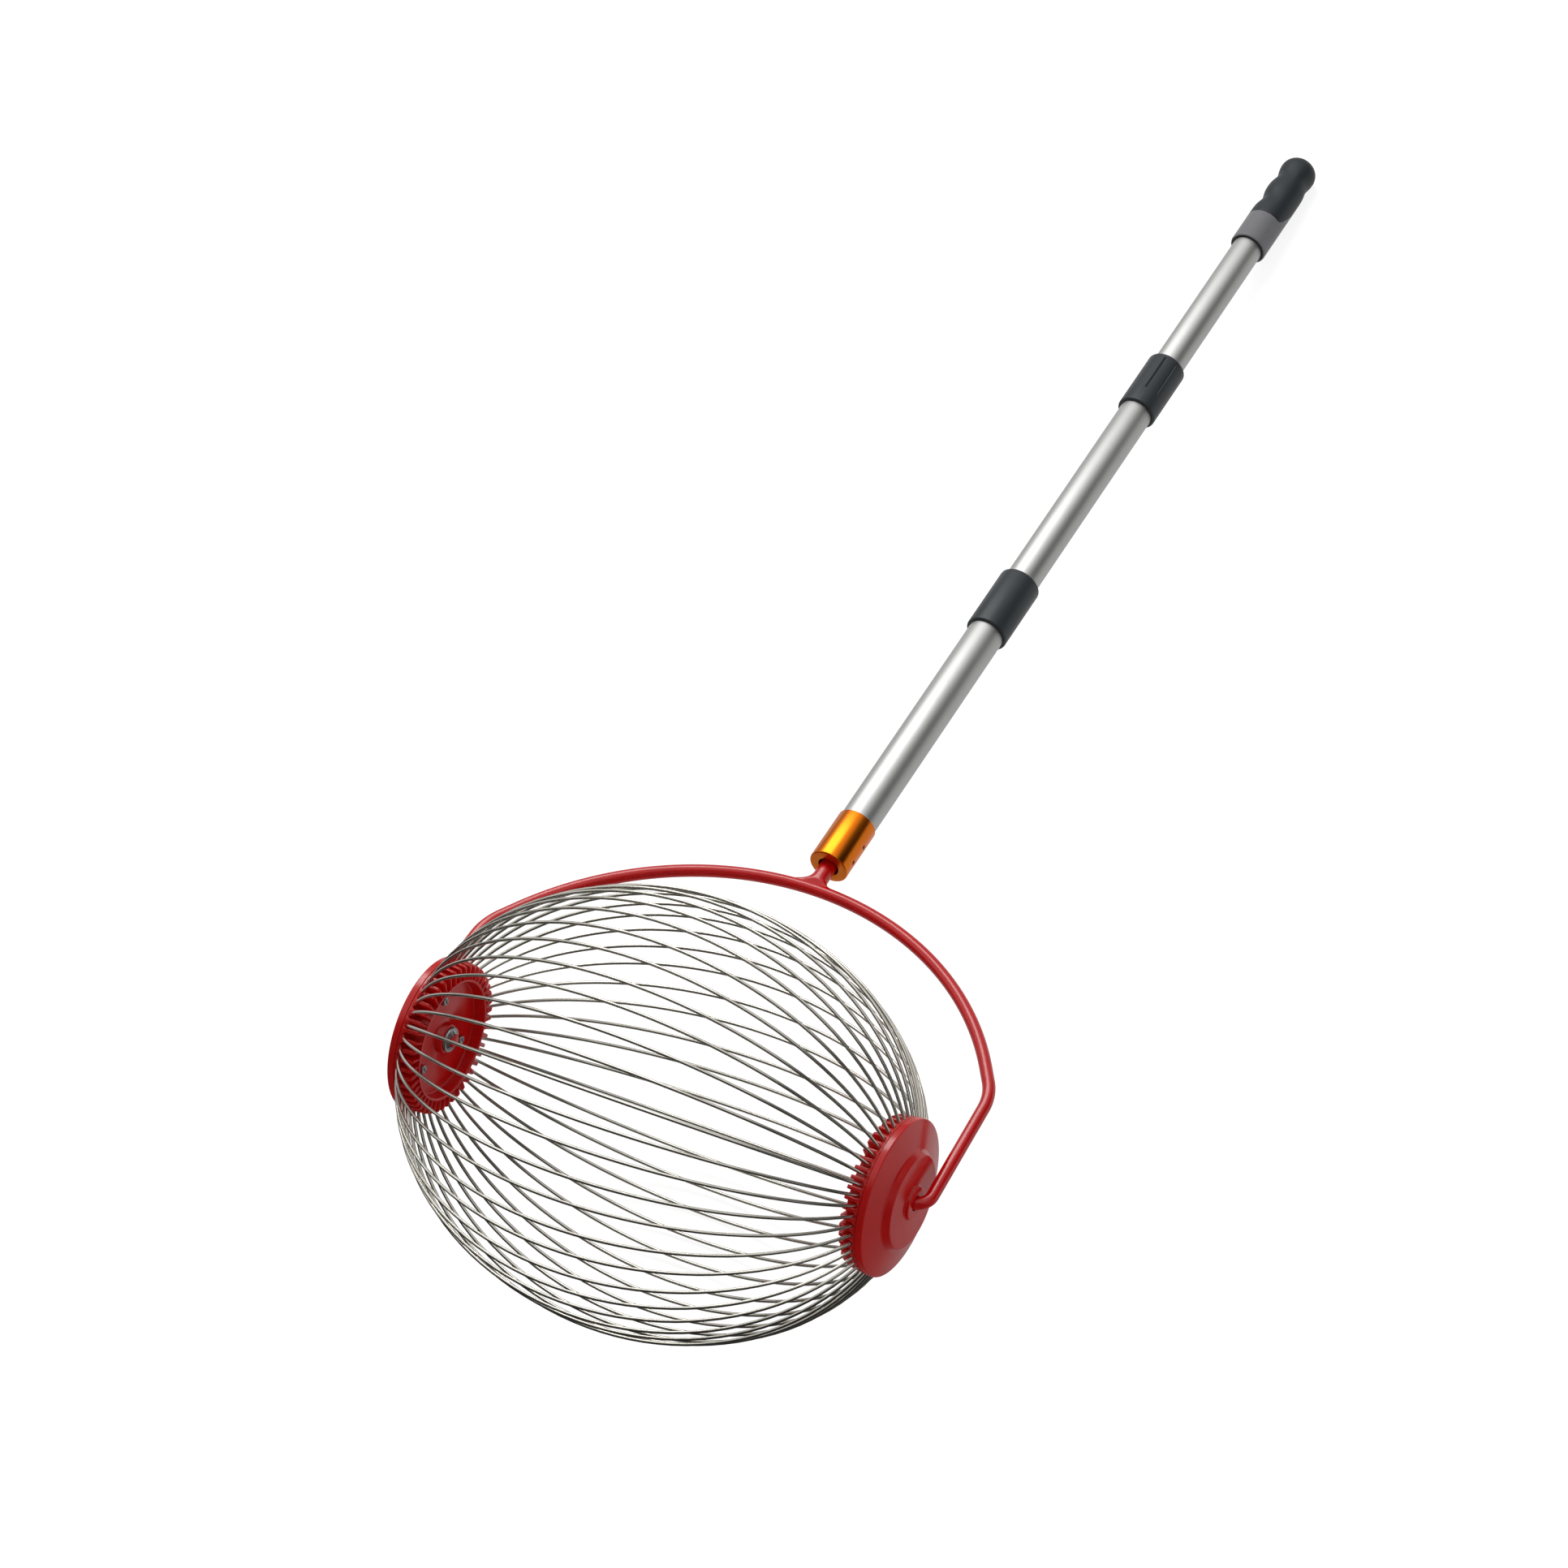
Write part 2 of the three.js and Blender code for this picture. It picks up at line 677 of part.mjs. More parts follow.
// The rubber grip, closed at the butt, with finger dents down one side.
function grip() {
  const bottom = gripStart + gripRingLength + fitGap;
  const flatStart = gripEnd - gripButtRounding;
  const outline = [];
  for (let i = 0; i <= gripRings; i++) {
    outline.push([gripRadius, bottom + ((flatStart - bottom) * i) / gripRings]);
  }
  const roundingSteps = 4;
  for (let i = 1; i <= roundingSteps; i++) {
    const turn = ((Math.PI / 2) * i) / roundingSteps;
    const radius = gripButtFlatRadius + (gripRadius - gripButtFlatRadius) * Math.cos(turn);
    outline.push([radius, flatStart + gripButtRounding * Math.sin(turn)]);
  }
  const boreTop = upperTubeEnd + endPlugFlange + 2 * fitGap;
  const body = turned(
    [
      [0, boreTop],
      [gripBoreRadius, boreTop],
      [gripBoreRadius, bottom],
      ...outline,
      [0, gripEnd],
    ],
    poleSides,
  );
  const dentSpan = fingerDents * fingerDentPitch;
  const position = body.getAttribute("position");
  for (let i = 0; i < position.count; i++) {
    const x = position.getX(i);
    const y = position.getY(i);
    const z = position.getZ(i);
    const radius = Math.hypot(x, z);
    const along = y - bottom - fingerDentFirst + fingerDentPitch / 2;
    if (radius < gripBoreRadius + fitGap || along < 0 || along > dentSpan) continue;
    const facing = Math.max(0, Math.cos(Math.atan2(z, x) - fingerSideAngle * degree));
    const wave = (1 - Math.cos((2 * Math.PI * along) / fingerDentPitch)) / 2;
    const share = 1 - (fingerDentDepth * facing * wave) / radius;
    position.setXYZ(i, x * share, y, z * share);
  }
  return body;
}

function gripRing() {
  const top = gripStart + gripRingLength;
  return turned(
    [
      [gripBoreRadius, gripStart],
      [gripRadius - lockRounding, gripStart],
      [gripRadius, gripStart + lockRounding],
      [gripRadius, top],
      [gripBoreRadius, top],
    ],
    poleSides,
  );
}

function endPlug() {
  const seat = upperTubeEnd + fitGap;
  const shankRadius = upperTubeRadius - tubeStep;
  return turned(
    [
      [0, seat - endPlugShank],
      [shankRadius, seat - endPlugShank],
      [shankRadius, seat],
      [upperTubeRadius, seat],
      [upperTubeRadius, seat + endPlugFlange],
      [0, seat + endPlugFlange],
    ],
    poleSides,
  );
}

function lowerSection() {
  const group = new THREE.Group();
  const bottom = ferruleEndThickness + fitGap;
  const lowerTube = tube(lowerTubeRadius, bottom, lowerTubeMouth);
  const plug = ring(stubRadius + fitGap, plugRadius, bottom, bottom + plugLength, poleSides);
  group.add(piece("ferrule", ferrule(), orangeAnodised));
  group.add(piece("pole_plug", cut(plug, ...clampHoles()), blackPlastic));
  group.add(piece("lower_tube", cut(lowerTube, ...clampHoles()), satinAluminium));
  clampScrewHeights.forEach((height, i) =>
    group.add(piece(`clamp_screw_${i + 1}`, clampScrew(height), zincSteel)),
  );
  return group;
}

function middleSection() {
  const group = new THREE.Group();
  const bottom = lowerTubeMouth - middleOverlap;
  group.add(piece("middle_tube", tube(middleTubeRadius, bottom, middleTubeMouth), satinAluminium));
  group.add(piece("middle_glide", glide(middleTubeRadius, bottom), blackPlastic));
  return group;
}

function upperSection() {
  const group = new THREE.Group();
  const bottom = middleTubeMouth - upperOverlap;
  group.add(piece("upper_tube", tube(upperTubeRadius, bottom, upperTubeEnd), satinAluminium));
  group.add(piece("upper_glide", glide(upperTubeRadius, bottom), blackPlastic));
  group.add(piece("grip_ring", gripRing(), greyPlastic));
  group.add(piece("grip", grip(), blackRubber));
  group.add(piece("grip_end_plug", endPlug(), blackPlastic));
  return group;
}

function pole() {
  const lowerLock = lockSizes(
    lowerLockStart,
    lowerLockLength,
    lowerLockDiameter,
    lowerTubeRadius,
    middleTubeRadius,
    lowerTubeMouth,
  );
  const upperLock = lockSizes(
    upperLockStart,
    upperLockLength,
    upperLockDiameter,
    middleTubeRadius,
    upperTubeRadius,
    middleTubeMouth,
  );
  const group = new THREE.Group();
  group.add(lowerSection(), middleSection(), upperSection());
  group.add(piece("lower_lock_collar", lockCollar(lowerLock, []), blackPlastic));
  group.add(piece("lower_lock_collet", collet(lowerLock), paleNylon));
  group.add(piece("upper_lock_collar", lockCollar(upperLock, lockGrooveAngles), blackPlastic));
  group.add(piece("upper_lock_collet", collet(upperLock), paleNylon));
  group.position.y = poleStart;
  return group;
}

function handle() {
  const group = new THREE.Group();
  group.add(piece("yoke_rod", rodAlong(yokeRoute(), yokeRodRadius, rodSides), redEnamel));
  group.add(piece("yoke_stub", yokeStub(), redEnamel));
  const rightRetainer = piece("right_axle_retainer", aboutAxle(retainer()), zincSteel);
  const leftRetainer = piece("left_axle_retainer", aboutAxle(retainer()), zincSteel);
  leftRetainer.rotation.z = Math.PI;
  group.add(rightRetainer, leftRetainer, pole());
  return group;
}

// Two wires straddle the lowest line of the cage, and the pole dips until the grip lands.
const axleHeight = bellyRadius * Math.cos(wirePitch / 2) + wireRadius;
const buttReach = poleStart + gripEnd - gripButtRounding;
const dip =
  Math.asin(axleHeight / Math.hypot(buttReach, gripRadius)) - Math.atan2(gripRadius, buttReach);
const frontReach = (poleStart + gripEnd) * Math.cos(dip);
const backReach = bellyRadius + wireRadius;

const collector = new THREE.Group();
const handleGroup = handle();
handleGroup.rotation.x = -dip;
collector.add(cage(), handleGroup);
collector.children.forEach((group) => {
  group.position.set(0, (backReach - frontReach) / 2, axleHeight);
});

export default collector;
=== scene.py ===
# The looks of a rolling tennis ball collector, built round its packed frame.
import json
import math
from collections import namedtuple

import bmesh
import bpy
from mathutils import Matrix, Vector

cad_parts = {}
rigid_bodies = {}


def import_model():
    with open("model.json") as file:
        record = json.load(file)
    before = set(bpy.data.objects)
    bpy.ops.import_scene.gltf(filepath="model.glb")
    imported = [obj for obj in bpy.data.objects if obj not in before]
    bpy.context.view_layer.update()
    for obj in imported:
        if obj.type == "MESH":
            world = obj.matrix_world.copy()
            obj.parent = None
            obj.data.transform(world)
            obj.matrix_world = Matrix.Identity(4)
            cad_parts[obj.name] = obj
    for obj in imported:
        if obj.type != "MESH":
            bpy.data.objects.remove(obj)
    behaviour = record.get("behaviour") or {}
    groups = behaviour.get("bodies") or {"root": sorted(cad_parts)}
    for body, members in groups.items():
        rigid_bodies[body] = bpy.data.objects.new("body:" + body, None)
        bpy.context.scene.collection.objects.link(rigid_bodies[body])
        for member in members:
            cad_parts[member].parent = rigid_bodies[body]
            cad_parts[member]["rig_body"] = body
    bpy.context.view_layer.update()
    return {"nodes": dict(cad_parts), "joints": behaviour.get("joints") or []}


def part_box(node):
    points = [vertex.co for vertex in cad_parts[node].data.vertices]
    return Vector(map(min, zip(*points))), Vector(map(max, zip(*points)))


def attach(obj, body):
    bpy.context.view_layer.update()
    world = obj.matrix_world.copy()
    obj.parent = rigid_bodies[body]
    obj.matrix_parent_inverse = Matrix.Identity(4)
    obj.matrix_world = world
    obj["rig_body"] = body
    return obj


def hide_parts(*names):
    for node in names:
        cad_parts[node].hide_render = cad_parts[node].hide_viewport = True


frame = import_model()

bl_info = {
    "name": "Ball Collector",
    "version": (1, 0, 0),
    "blender": (4, 5, 0),
    "location": "3D View > Sidebar > Collector",
    "description": "Dresses a rolling tennis ball collector with fine meshes and finishes",
    "category": "Object",
}

# Sizes are in metres, as the frame's are; MM writes them in millimetres.
MM = 0.001
MERGE = 0.002 * MM
FIT_GAP = 0.3 * MM
PAIR_COUNT = 24

ACROSS = Vector((1, 0, 0))
JOINTS = {joint["name"]: joint for joint in frame["joints"]}
AXLE = Vector(JOINTS["cage_roll"]["pos_m"])
POLE = Vector(JOINTS["middle_pole_slide"]["axis"]).normalized()
TOPSIDE = ACROSS.cross(POLE)

Span = namedtuple("Span", "start end inner outer")


def span(node, axis):
    """How far a node reaches along an axis through the axle's middle, and away from it."""
    corners = [vertex.co - AXLE for vertex in frame["nodes"][node].data.vertices]
    along = [corner.dot(axis) for corner in corners]
    away = [(corner - corner.dot(axis) * axis).length for corner in corners]
    return Span(min(along), max(along), min(away), max(away))


def middle(node):
    """The middle of a node's box."""
    low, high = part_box(node)
    return (low + high) / 2


def standing(first, axis, origin=AXLE):
    """The matrix that stands local Z on an axis, with local X along first."""
    matrix = Matrix((first, axis.cross(first), axis)).transposed().to_4x4()
    matrix.translation = origin
    return matrix


# Angles about the pole go from its top side towards +X, and about the axle from +Y towards +Z.
ON_POLE = standing(TOPSIDE, POLE)
ON_HUB = {
    "right": standing(Vector((0, 1, 0)), ACROSS),
    "left": standing(Vector((0, -1, 0)), -ACROSS),
}
HUB_AXIS = {"right": ACROSS, "left": -ACROSS}


def distance(name, description, millimetres):
    """A length that a user can change, kept in metres."""
    return bpy.props.FloatProperty(
        name=name, description=description, default=millimetres * MM, min=0.0, unit="LENGTH", precision=5
    )


def angle(name, description, degrees):
    """An angle that a user can change."""
    return bpy.props.FloatProperty(
        name=name, description=description, default=math.radians(degrees), subtype="ANGLE"
    )


def amount(name, description, value):
    """A plain number from nothing up."""
    return bpy.props.FloatProperty(name=name, description=description, default=value, min=0.0)


def linear(red, green, blue):
    """A colour as it is seen on a screen, from 0 to 255, as Blender's linear values."""
    shares = [part / 255 for part in (red, green, blue)]
    return tuple(part / 12.92 if part <= 0.04045 else ((part + 0.055) / 1.055) ** 2.4 for part in shares)


def colour(name, description, red, green, blue):
    """A surface colour that a user can change."""
    return bpy.props.FloatVectorProperty(
        name=name, description=description, default=linear(red, green, blue), subtype="COLOR", size=3,
        min=0.0, max=1.0,
    )


class CollectorCageSizes(bpy.types.PropertyGroup):
    """Sizes of the cage's wires."""

    seat_radius: distance("Seat radius", "Distance from the axle at which a wire's arc ends", 40.4)
    wire_diameter: distance("Wire diameter", "Thickness of the spring wire", 2.0)
    tail: distance("Tail", "Length of a wire's free end past its arc", 2.0)
    slack: distance("Slack", "How far a wire may hang inside the true barrel at its middle", 1.2)
    sway: distance("Sway", "How far a wire may wander sideways at its middle", 1.1)


class CollectorHubSizes(bpy.types.PropertyGroup):
    """Sizes of the hubs that hold the wires."""

    slot_width: distance("Slot width", "Width of each wire's slot", 3.3)
    slot_floor: distance("Slot floor", "Distance of a slot's floor from the axle", 36.9)
    slot_end_inset: distance("Slot end inset", "Crown left between a slot's round end and the rim", 0.6)
    cup_radius: distance("Cup radius", "Radius of the crown's smooth inner wall", 35.4)
    tooth_taper: distance("Tooth taper", "How much lower the teeth are on the cage side", 1.2)
    tooth_corner: distance("Tooth corner", "Rounding of the teeth's corners on the cage side", 2.2)
    tooth_edge: distance("Tooth edge", "Rounding of the teeth's edges", 0.7)
    seat_drop: distance("Seat drop", "How far the bends' seat lies below the crown's edge", 1.05)
    edge_width: distance("Edge width", "Width of the crown's raised edge round the seat", 1.5)
    floor_thickness: distance("Floor thickness", "Thickness of the crown's floor", 2.65)
    crown_boss_radius: distance("Crown boss radius", "Radius of the boss that holds the bush", 8.9)
    crown_boss_inset: distance("Crown boss inset", "How far that boss stands into the cup", 5.0)
    lip_step: distance("Lip step", "How far the crown reaches up into the cover's band", 1.3)
    rim_height: distance("Rim height", "Height of the bright band round the cover", 4.1)
    rim_lip: distance("Rim lip", "Thickness of the rim at its edge", 1.7)
    rim_rounding: distance("Rim rounding", "Rounding between the band and the face", 0.9)
    face_rise: distance("Face rise", "How far the face rises from the rim to the boss", 4.0)
    boss_foot_radius: distance("Boss foot radius", "Radius of the boss where it leaves the face", 30.0)
    boss_face_radius: distance("Boss face radius", "Radius of the boss's flat face", 27.6)
    boss_rise: distance("Boss rise", "Height of the boss over its foot", 4.0)
    eye_radius: distance("Eye radius", "Radius of the ring that the rod comes out of", 10.0)
    cover_wall: distance("Cover wall", "Wall thickness of the cover", 2.2)
    bore_gap: distance("Bore gap", "Clearance of the rod in the cover", 0.6)


class CollectorYokeSizes(bpy.types.PropertyGroup):
    """Sizes of the bent rod and the stub that is welded to it."""

    rod_diameter: distance("Rod diameter", "Thickness of the yoke's rod", 7.6)
    arch_radius: distance("Arch radius", "Radius of the arch between the shoulders", 190)
    shoulder_inset: distance("Shoulder inset", "How far the shoulders stand in from the feet", 3.1)
    shoulder_lead: distance("Shoulder lead", "How far in from the shoulders the arch ends", 12)
    shoulder_bend: distance("Shoulder bend", "Radius of the bend at each shoulder", 38.0)
    foot_bend: distance("Foot bend", "Radius of the bend at each foot", 8.4)
    tip_edge: distance("Tip edge", "Rounding of the rod's ends", 0.8)
    stub_diameter: distance("Stub diameter", "Thickness of the stub", 10.4)
    weld_left: distance("Weld on the left", "Length of the fillet along the rod towards -X", 12.0)
    weld_right: distance("Weld on the right", "Length of the fillet along the rod towards +X", 6.5)
    weld_height: distance("Weld height", "Height of the fillet on the stub", 9.0)


class CollectorPoleSizes(bpy.types.PropertyGroup):
    """Sizes of the ferrule, the tubes and the twist locks."""

    ferrule_mouth: distance("Ferrule mouth", "Radius of the hole that the stub goes into", 6.6)
    ferrule_edge: distance("Ferrule edge", "Rounding of the ferrule's edges", 0.9)
    ferrule_end: distance("Ferrule end", "Thickness of the ferrule's end", 3.0)
    screw_radius: distance("Set screw radius", "Radius of the set screws in the ferrule", 1.3)
    screw_sink: distance("Set screw sink", "How deep the set screws sit", 0.5)
    tube_wall: distance("Tube wall", "Wall thickness of the tubes", 0.5)
    tube_edge: distance("Tube edge", "Rounding of the tubes' mouths", 0.2)
    lock_edge: distance("Lock edge", "Rounding of the twist locks' ends", 1.7)
    lock_lip: distance("Lock lip", "Thickness of the lip at each end of a lock", 2.0)
    groove_width: distance("Groove width", "Width of the grooves in the upper lock", 1.3)
    groove_depth: distance("Groove depth", "Depth of those grooves", 0.7)
    groove_start: distance("Groove start", "Distance of the grooves from the lock's lower end", 12.5)
    groove_length: distance("Groove length", "Length of the grooves", 29.0)
    groove_angle: angle("Groove angle", "Place of the first groove, from the top side towards +X", 8)
    groove_spread: angle("Groove spread", "Angle between the two grooves of a pair", 37.5)


class CollectorGripSizes(bpy.types.PropertyGroup):
    """Sizes of the grip."""

    lip_wall: distance("Lip wall", "Thickness of the dark lip inside the grey ring", 1.1)
    ring_edge: distance("Ring edge", "Rounding of the ring's lower edge", 0.9)
    tongue_rise: distance("Tongue rise", "How far the ring runs up on the palm side", 17.6)
    tongue_angle: angle("Tongue angle", "Middle of that tongue, from the top side towards +X", 116)
    tongue_half_angle: angle("Tongue half angle", "Half of the angle that the tongue takes up", 58)
    finger_angle: angle("Finger side", "Middle of the dents, from the top side towards +X", -64)
    dent_first: distance("First dent", "Distance of the first dent from the ring", 17.8)
    dent_pitch: distance("Dent pitch", "Distance between the two dents", 23.2)
    dent_depth: distance("Dent depth", "Depth of the finger dents", 1.8)
    dent_length: distance("Dent length", "Half length of a dent", 9.5)
    waist_place: distance("Waist place", "Distance of the palm side's waist from the ring", 42.0)
    waist_depth: distance("Waist depth", "Depth of that waist", 1.1)
    butt_rounding: distance("Butt rounding", "Length of the butt's rounding", 11.5)
    seam: distance("Seam", "Depth of the seam between ring and rubber", 0.25)


class CollectorColours(bpy.types.PropertyGroup):
    """Colours of the finishes."""

    spring_steel: colour("Spring steel", "Bright drawn wire", 206, 202, 192)
    red_plastic: colour("Red plastic", "Glossy moulded hubs", 226, 12, 9)
    red_enamel: colour("Red enamel", "Baked coat on the yoke", 228, 4, 8)
    orange_anodised: colour("Orange anodised", "Dyed aluminium of the ferrule", 226, 118, 24)
    satin_aluminium: colour("Satin aluminium", "Bare tubes", 194, 194, 192)
    slate_plastic: colour("Slate plastic", "Twist locks", 58, 64, 68)
    black_plastic: colour("Black plastic", "Hidden glides and plugs", 28, 30, 32)
    grey_plastic: colour("Grey plastic", "Ring of the grip", 134, 134, 138)
    black_rubber: colour("Black rubber", "Grip", 42, 49, 53)
    pale_nylon: colour("Pale nylon", "Bushes and collets", 222, 218, 205)
    zinc_steel: colour("Zinc steel", "Screws and retainers", 176, 178, 180)


class CollectorStageSettings(bpy.types.PropertyGroup):
    """Camera, lamps and floor."""

    camera_place: bpy.props.FloatVectorProperty(
        name="Camera place", description="Where the camera stands", default=(1.2873, -1.6628, 2.8128),
        subtype="TRANSLATION", unit="LENGTH",
    )
    camera_azimuth: angle("Camera azimuth", "Heading of the camera, from +Y towards -X", 40.987)
    camera_elevation: angle("Camera elevation", "How steeply the camera looks down", 53.003)
    camera_roll: angle("Camera roll", "Turn of the picture about the line of sight", -16.851)
    lens: bpy.props.FloatProperty(
        name="Lens", description="Focal length in millimetres", default=130.43, subtype="DISTANCE_CAMERA"
    )
    key_power: amount("Key power", "Watts of the large lamp above the picture", 18.5)
    fill_power: amount("Fill power", "Watts of the lamp on the right", 2.0)
    sky_level: amount("Sky level", "Strength of the even light from all round", 0.31)
    room_level: amount("Room level", "Strength of the white room that glossy surfaces reflect", 1.05)
    floor_glow: amount("Floor glow", "Strength of the floor's own light, as the camera sees it", 1.7)
    floor_gloss: amount("Floor gloss", "Brightness of the floor in glossy surfaces", 0.72)
    floor_colour: colour("Floor colour", "The plain pale floor", 235, 235, 235)


# Shader maths

class Field:
    """A shader socket that takes part in sums; each sum adds a Math node."""

    def __init__(self, finish, socket):
        self.finish = finish
        self.socket = socket

    def maths(self, operation, first, second):
        return self.finish.node("ShaderNodeMath", {"operation": operation}, {0: first, 1: second})

    def __add__(self, other):
        return self.maths("ADD", self, other)

    def __sub__(self, other):
        return self.maths("SUBTRACT", self, other)

    def __rsub__(self, other):
        return self.maths("SUBTRACT", other, self)

    def __mul__(self, other):
        return self.maths("MULTIPLY", self, other)

    __radd__ = __add__
    __rmul__ = __mul__


class Finish:
    """A node tree that is written as expressions."""

    def __init__(self, owner):
        owner.use_nodes = True
        self.tree = owner.node_tree
        self.tree.nodes.clear()

    def node(self, kind, settings=None, inputs=None, output=0):
        """Adds a node, sets it, then gives its sockets values or links, and returns one output if any."""
        node = self.tree.nodes.new(kind)
        for name, value in (settings or {}).items():
            setattr(node, name, value)
        for name, value in (inputs or {}).items():
            self.feed(node.inputs[name], value)
        return Field(self, node.outputs[output]) if node.outputs else None

    def feed(self, socket, value):
        if isinstance(value, Field):
            self.tree.links.new(value.socket, socket)
        elif hasattr(socket.default_value, "__len__") and len(socket.default_value) == 4 and len(value) == 3:
            socket.default_value = (*value, 1.0)
        else:
            socket.default_value = value

    def end(self, kind, shader):
        """Adds the tree's output node, fed by a shader."""
        self.node(kind, {}, {"Surface": shader})

    def place(self):
        """The point on the object, in metres, which stays with the piece when it moves."""
        return self.node("ShaderNodeTexCoord", output="Object")

    def ray(self, kind):
        """1 for the rays of a kind, Camera or Glossy, and 0 for all others."""
        return self.node("ShaderNodeLightPath", output=f"Is {kind} Ray")

    def vector(self, operation, first, second):
        return self.node("ShaderNodeVectorMath", {"operation": operation}, {0: first, 1: second})

    def scaled(self, vector, scale):
        return self.node("ShaderNodeVectorMath", {"operation": "SCALE"}, {0: vector, "Scale": scale})

    def along(self, vector, direction):
        """How far a vector reaches along a direction."""
        return self.node(
            "ShaderNodeVectorMath", {"operation": "DOT_PRODUCT"}, {0: vector, 1: tuple(direction)}, "Value"
        )

    def smooth(self, value, low, high, least=0.0):
        """A soft step from a least value at low to 1 at high."""
        return self.node(
            "ShaderNodeMapRange", {"interpolation_type": "SMOOTHSTEP"},
            {0: value, 1: low, 2: high, 3: least, 4: 1.0},
        )

    def noise(self, spot, size, detail, roughness):
        """Soft cloudy noise from 0 to 1, with clouds of a size."""
        return self.node(
            "ShaderNodeTexNoise",
            {"noise_dimensions": "3D"},
            {"Vector": spot, "Scale": 1 / size, "Detail": detail, "Roughness": roughness},
        )

    def shaded(self, share, shade, least):
        """A shade that is darkened by a share, down to its least part."""
        dark = tuple(part * least for part in shade)
        return self.node(
            "ShaderNodeMix", {"data_type": "RGBA", "blend_type": "MIX"}, {0: share, 6: shade, 7: dark}, 2
        )

    def bump(self, height, depth):
        """A normal from a height field whose full range is depth metres."""
        return self.node("ShaderNodeBump", {}, {"Height": height, "Distance": depth})


def drawn_metal(finish, shade, roughness, direction, line_width, line_length, line_depth):
    """Bare metal with fine lines along the way that it was drawn, and faint handling marks."""
    offset = finish.vector("SUBTRACT", finish.place(), tuple(AXLE))
    along = finish.scaled(tuple(direction), finish.along(offset, direction))
    round_it = finish.vector("SUBTRACT", offset, along)
    spot = finish.vector("ADD", round_it, finish.scaled(along, line_width / line_length))
    lines = finish.noise(spot, line_width, 3.0, 0.6)
    marks = finish.noise(finish.place(), MARK_SIZE, 3.0, 0.6)
    return {
        "Base Color": finish.shaded(0.35 * lines + 0.25 * marks, shade, 0.8),
        "Metallic": 1.0,
        "Roughness": roughness - 0.06 + 0.09 * lines + 0.06 * marks,
        "Normal": finish.bump(lines, line_depth),
    }


def moulded(finish, shade, roughness, gloss, grain, grain_depth):
    """Moulded plastic: slightly uneven colour and gloss, and a fine skin."""
    clouds = finish.noise(finish.place(), CLOUD_SIZE, 3.0, 0.55)
    skin = finish.noise(finish.place(), grain, 2.0, 0.6)
    return {
        "Base Color": finish.shaded(clouds, shade, 0.82),
        "Specular IOR Level": gloss,
        "Roughness": roughness - 0.04 + 0.06 * clouds + 0.04 * skin,
        "Normal": finish.bump(skin, grain_depth),
    }


MARK_SIZE = 18 * MM
CLOUD_SIZE = 14 * MM

# Metals: roughness, the way of the lines, their width, length and depth.
# Moulded ones: roughness, gloss, the grain's size and depth.
FINISHES = {
    "spring_steel": (drawn_metal, 0.13, ACROSS, 0.3 * MM, 9 * MM, 0.0003 * MM),
    "satin_aluminium": (drawn_metal, 0.46, POLE, 0.35 * MM, 24 * MM, 0.003 * MM),
    "orange_anodised": (drawn_metal, 0.24, POLE, 0.5 * MM, 0.15 * MM, 0.002 * MM),
    "zinc_steel": (drawn_metal, 0.3, ACROSS, 0.4 * MM, 0.8 * MM, 0.004 * MM),
    "red_plastic": (moulded, 0.2, 0.5, 4 * MM, 0.002 * MM),
    "red_enamel": (moulded, 0.2, 0.55, 4 * MM, 0.001 * MM),
    "black_rubber": (moulded, 0.46, 0.35, 0.35 * MM, 0.02 * MM),
    "slate_plastic": (moulded, 0.36, 0.3, 0.3 * MM, 0.006 * MM),
    "grey_plastic": (moulded, 0.42, 0.35, 0.3 * MM, 0.01 * MM),
    "black_plastic": (moulded, 0.48, 0.5, 0.4 * MM, 0.012 * MM),
    "pale_nylon": (moulded, 0.48, 0.5, 0.4 * MM, 0.012 * MM),
}


def finish_of(name):
    """The named finish, made the first time that it is asked for."""
    title = f"{name}_finish"
    if title not in bpy.data.materials:
        shade = tuple(getattr(bpy.context.scene.collector_colours, name))
        material = bpy.data.materials.new(title)
        material.diffuse_color = (*shade, 1.0)
        finish = Finish(material)
        kind, *values = FINISHES[name]
        shader = finish.node("ShaderNodeBsdfPrincipled", {}, kind(finish, shade, *values))
        finish.end("ShaderNodeOutputMaterial", shader)
    return bpy.data.materials[title]


# Mesh building

def placed(name, data):
    """A new object that is part of the scene."""
    thing = bpy.data.objects.new(name, data)
    bpy.context.scene.collection.objects.link(thing)
    return thing


def as_object(bm, name, place=Matrix()):
    """Welds a bmesh, turns its faces outward and makes an object of it."""
    bmesh.ops.remove_doubles(bm, verts=bm.verts, dist=MERGE)
    bmesh.ops.recalc_face_normals(bm, faces=bm.faces)
    bm.transform(place)
    mesh = bpy.data.meshes.new(name)
    bm.to_mesh(mesh)
    bm.free()
    return placed(name, mesh)


def finished(bm, name, slot, body, nodes=(), place=Matrix(), crease=50):
    """Turns a bmesh into a smooth-shaded piece that rides with a body and stands for its nodes."""
    piece = as_object(bm, name, place)
    mesh = piece.data
    mesh.polygons.foreach_set("use_smooth", [True] * len(mesh.polygons))
    mesh.set_sharp_from_angle(angle=math.radians(crease))
    mesh.materials.append(finish_of(slot))
    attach(piece, body)
    if nodes:
        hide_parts(*nodes)


def stands_for(bm, node, slot, place=Matrix(), crease=50):
    """A finished piece in one node's place, on that node's body."""
    body = frame["nodes"][node]["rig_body"]
    finished(bm, f"{node}_fine", slot, body, [node], place, crease)


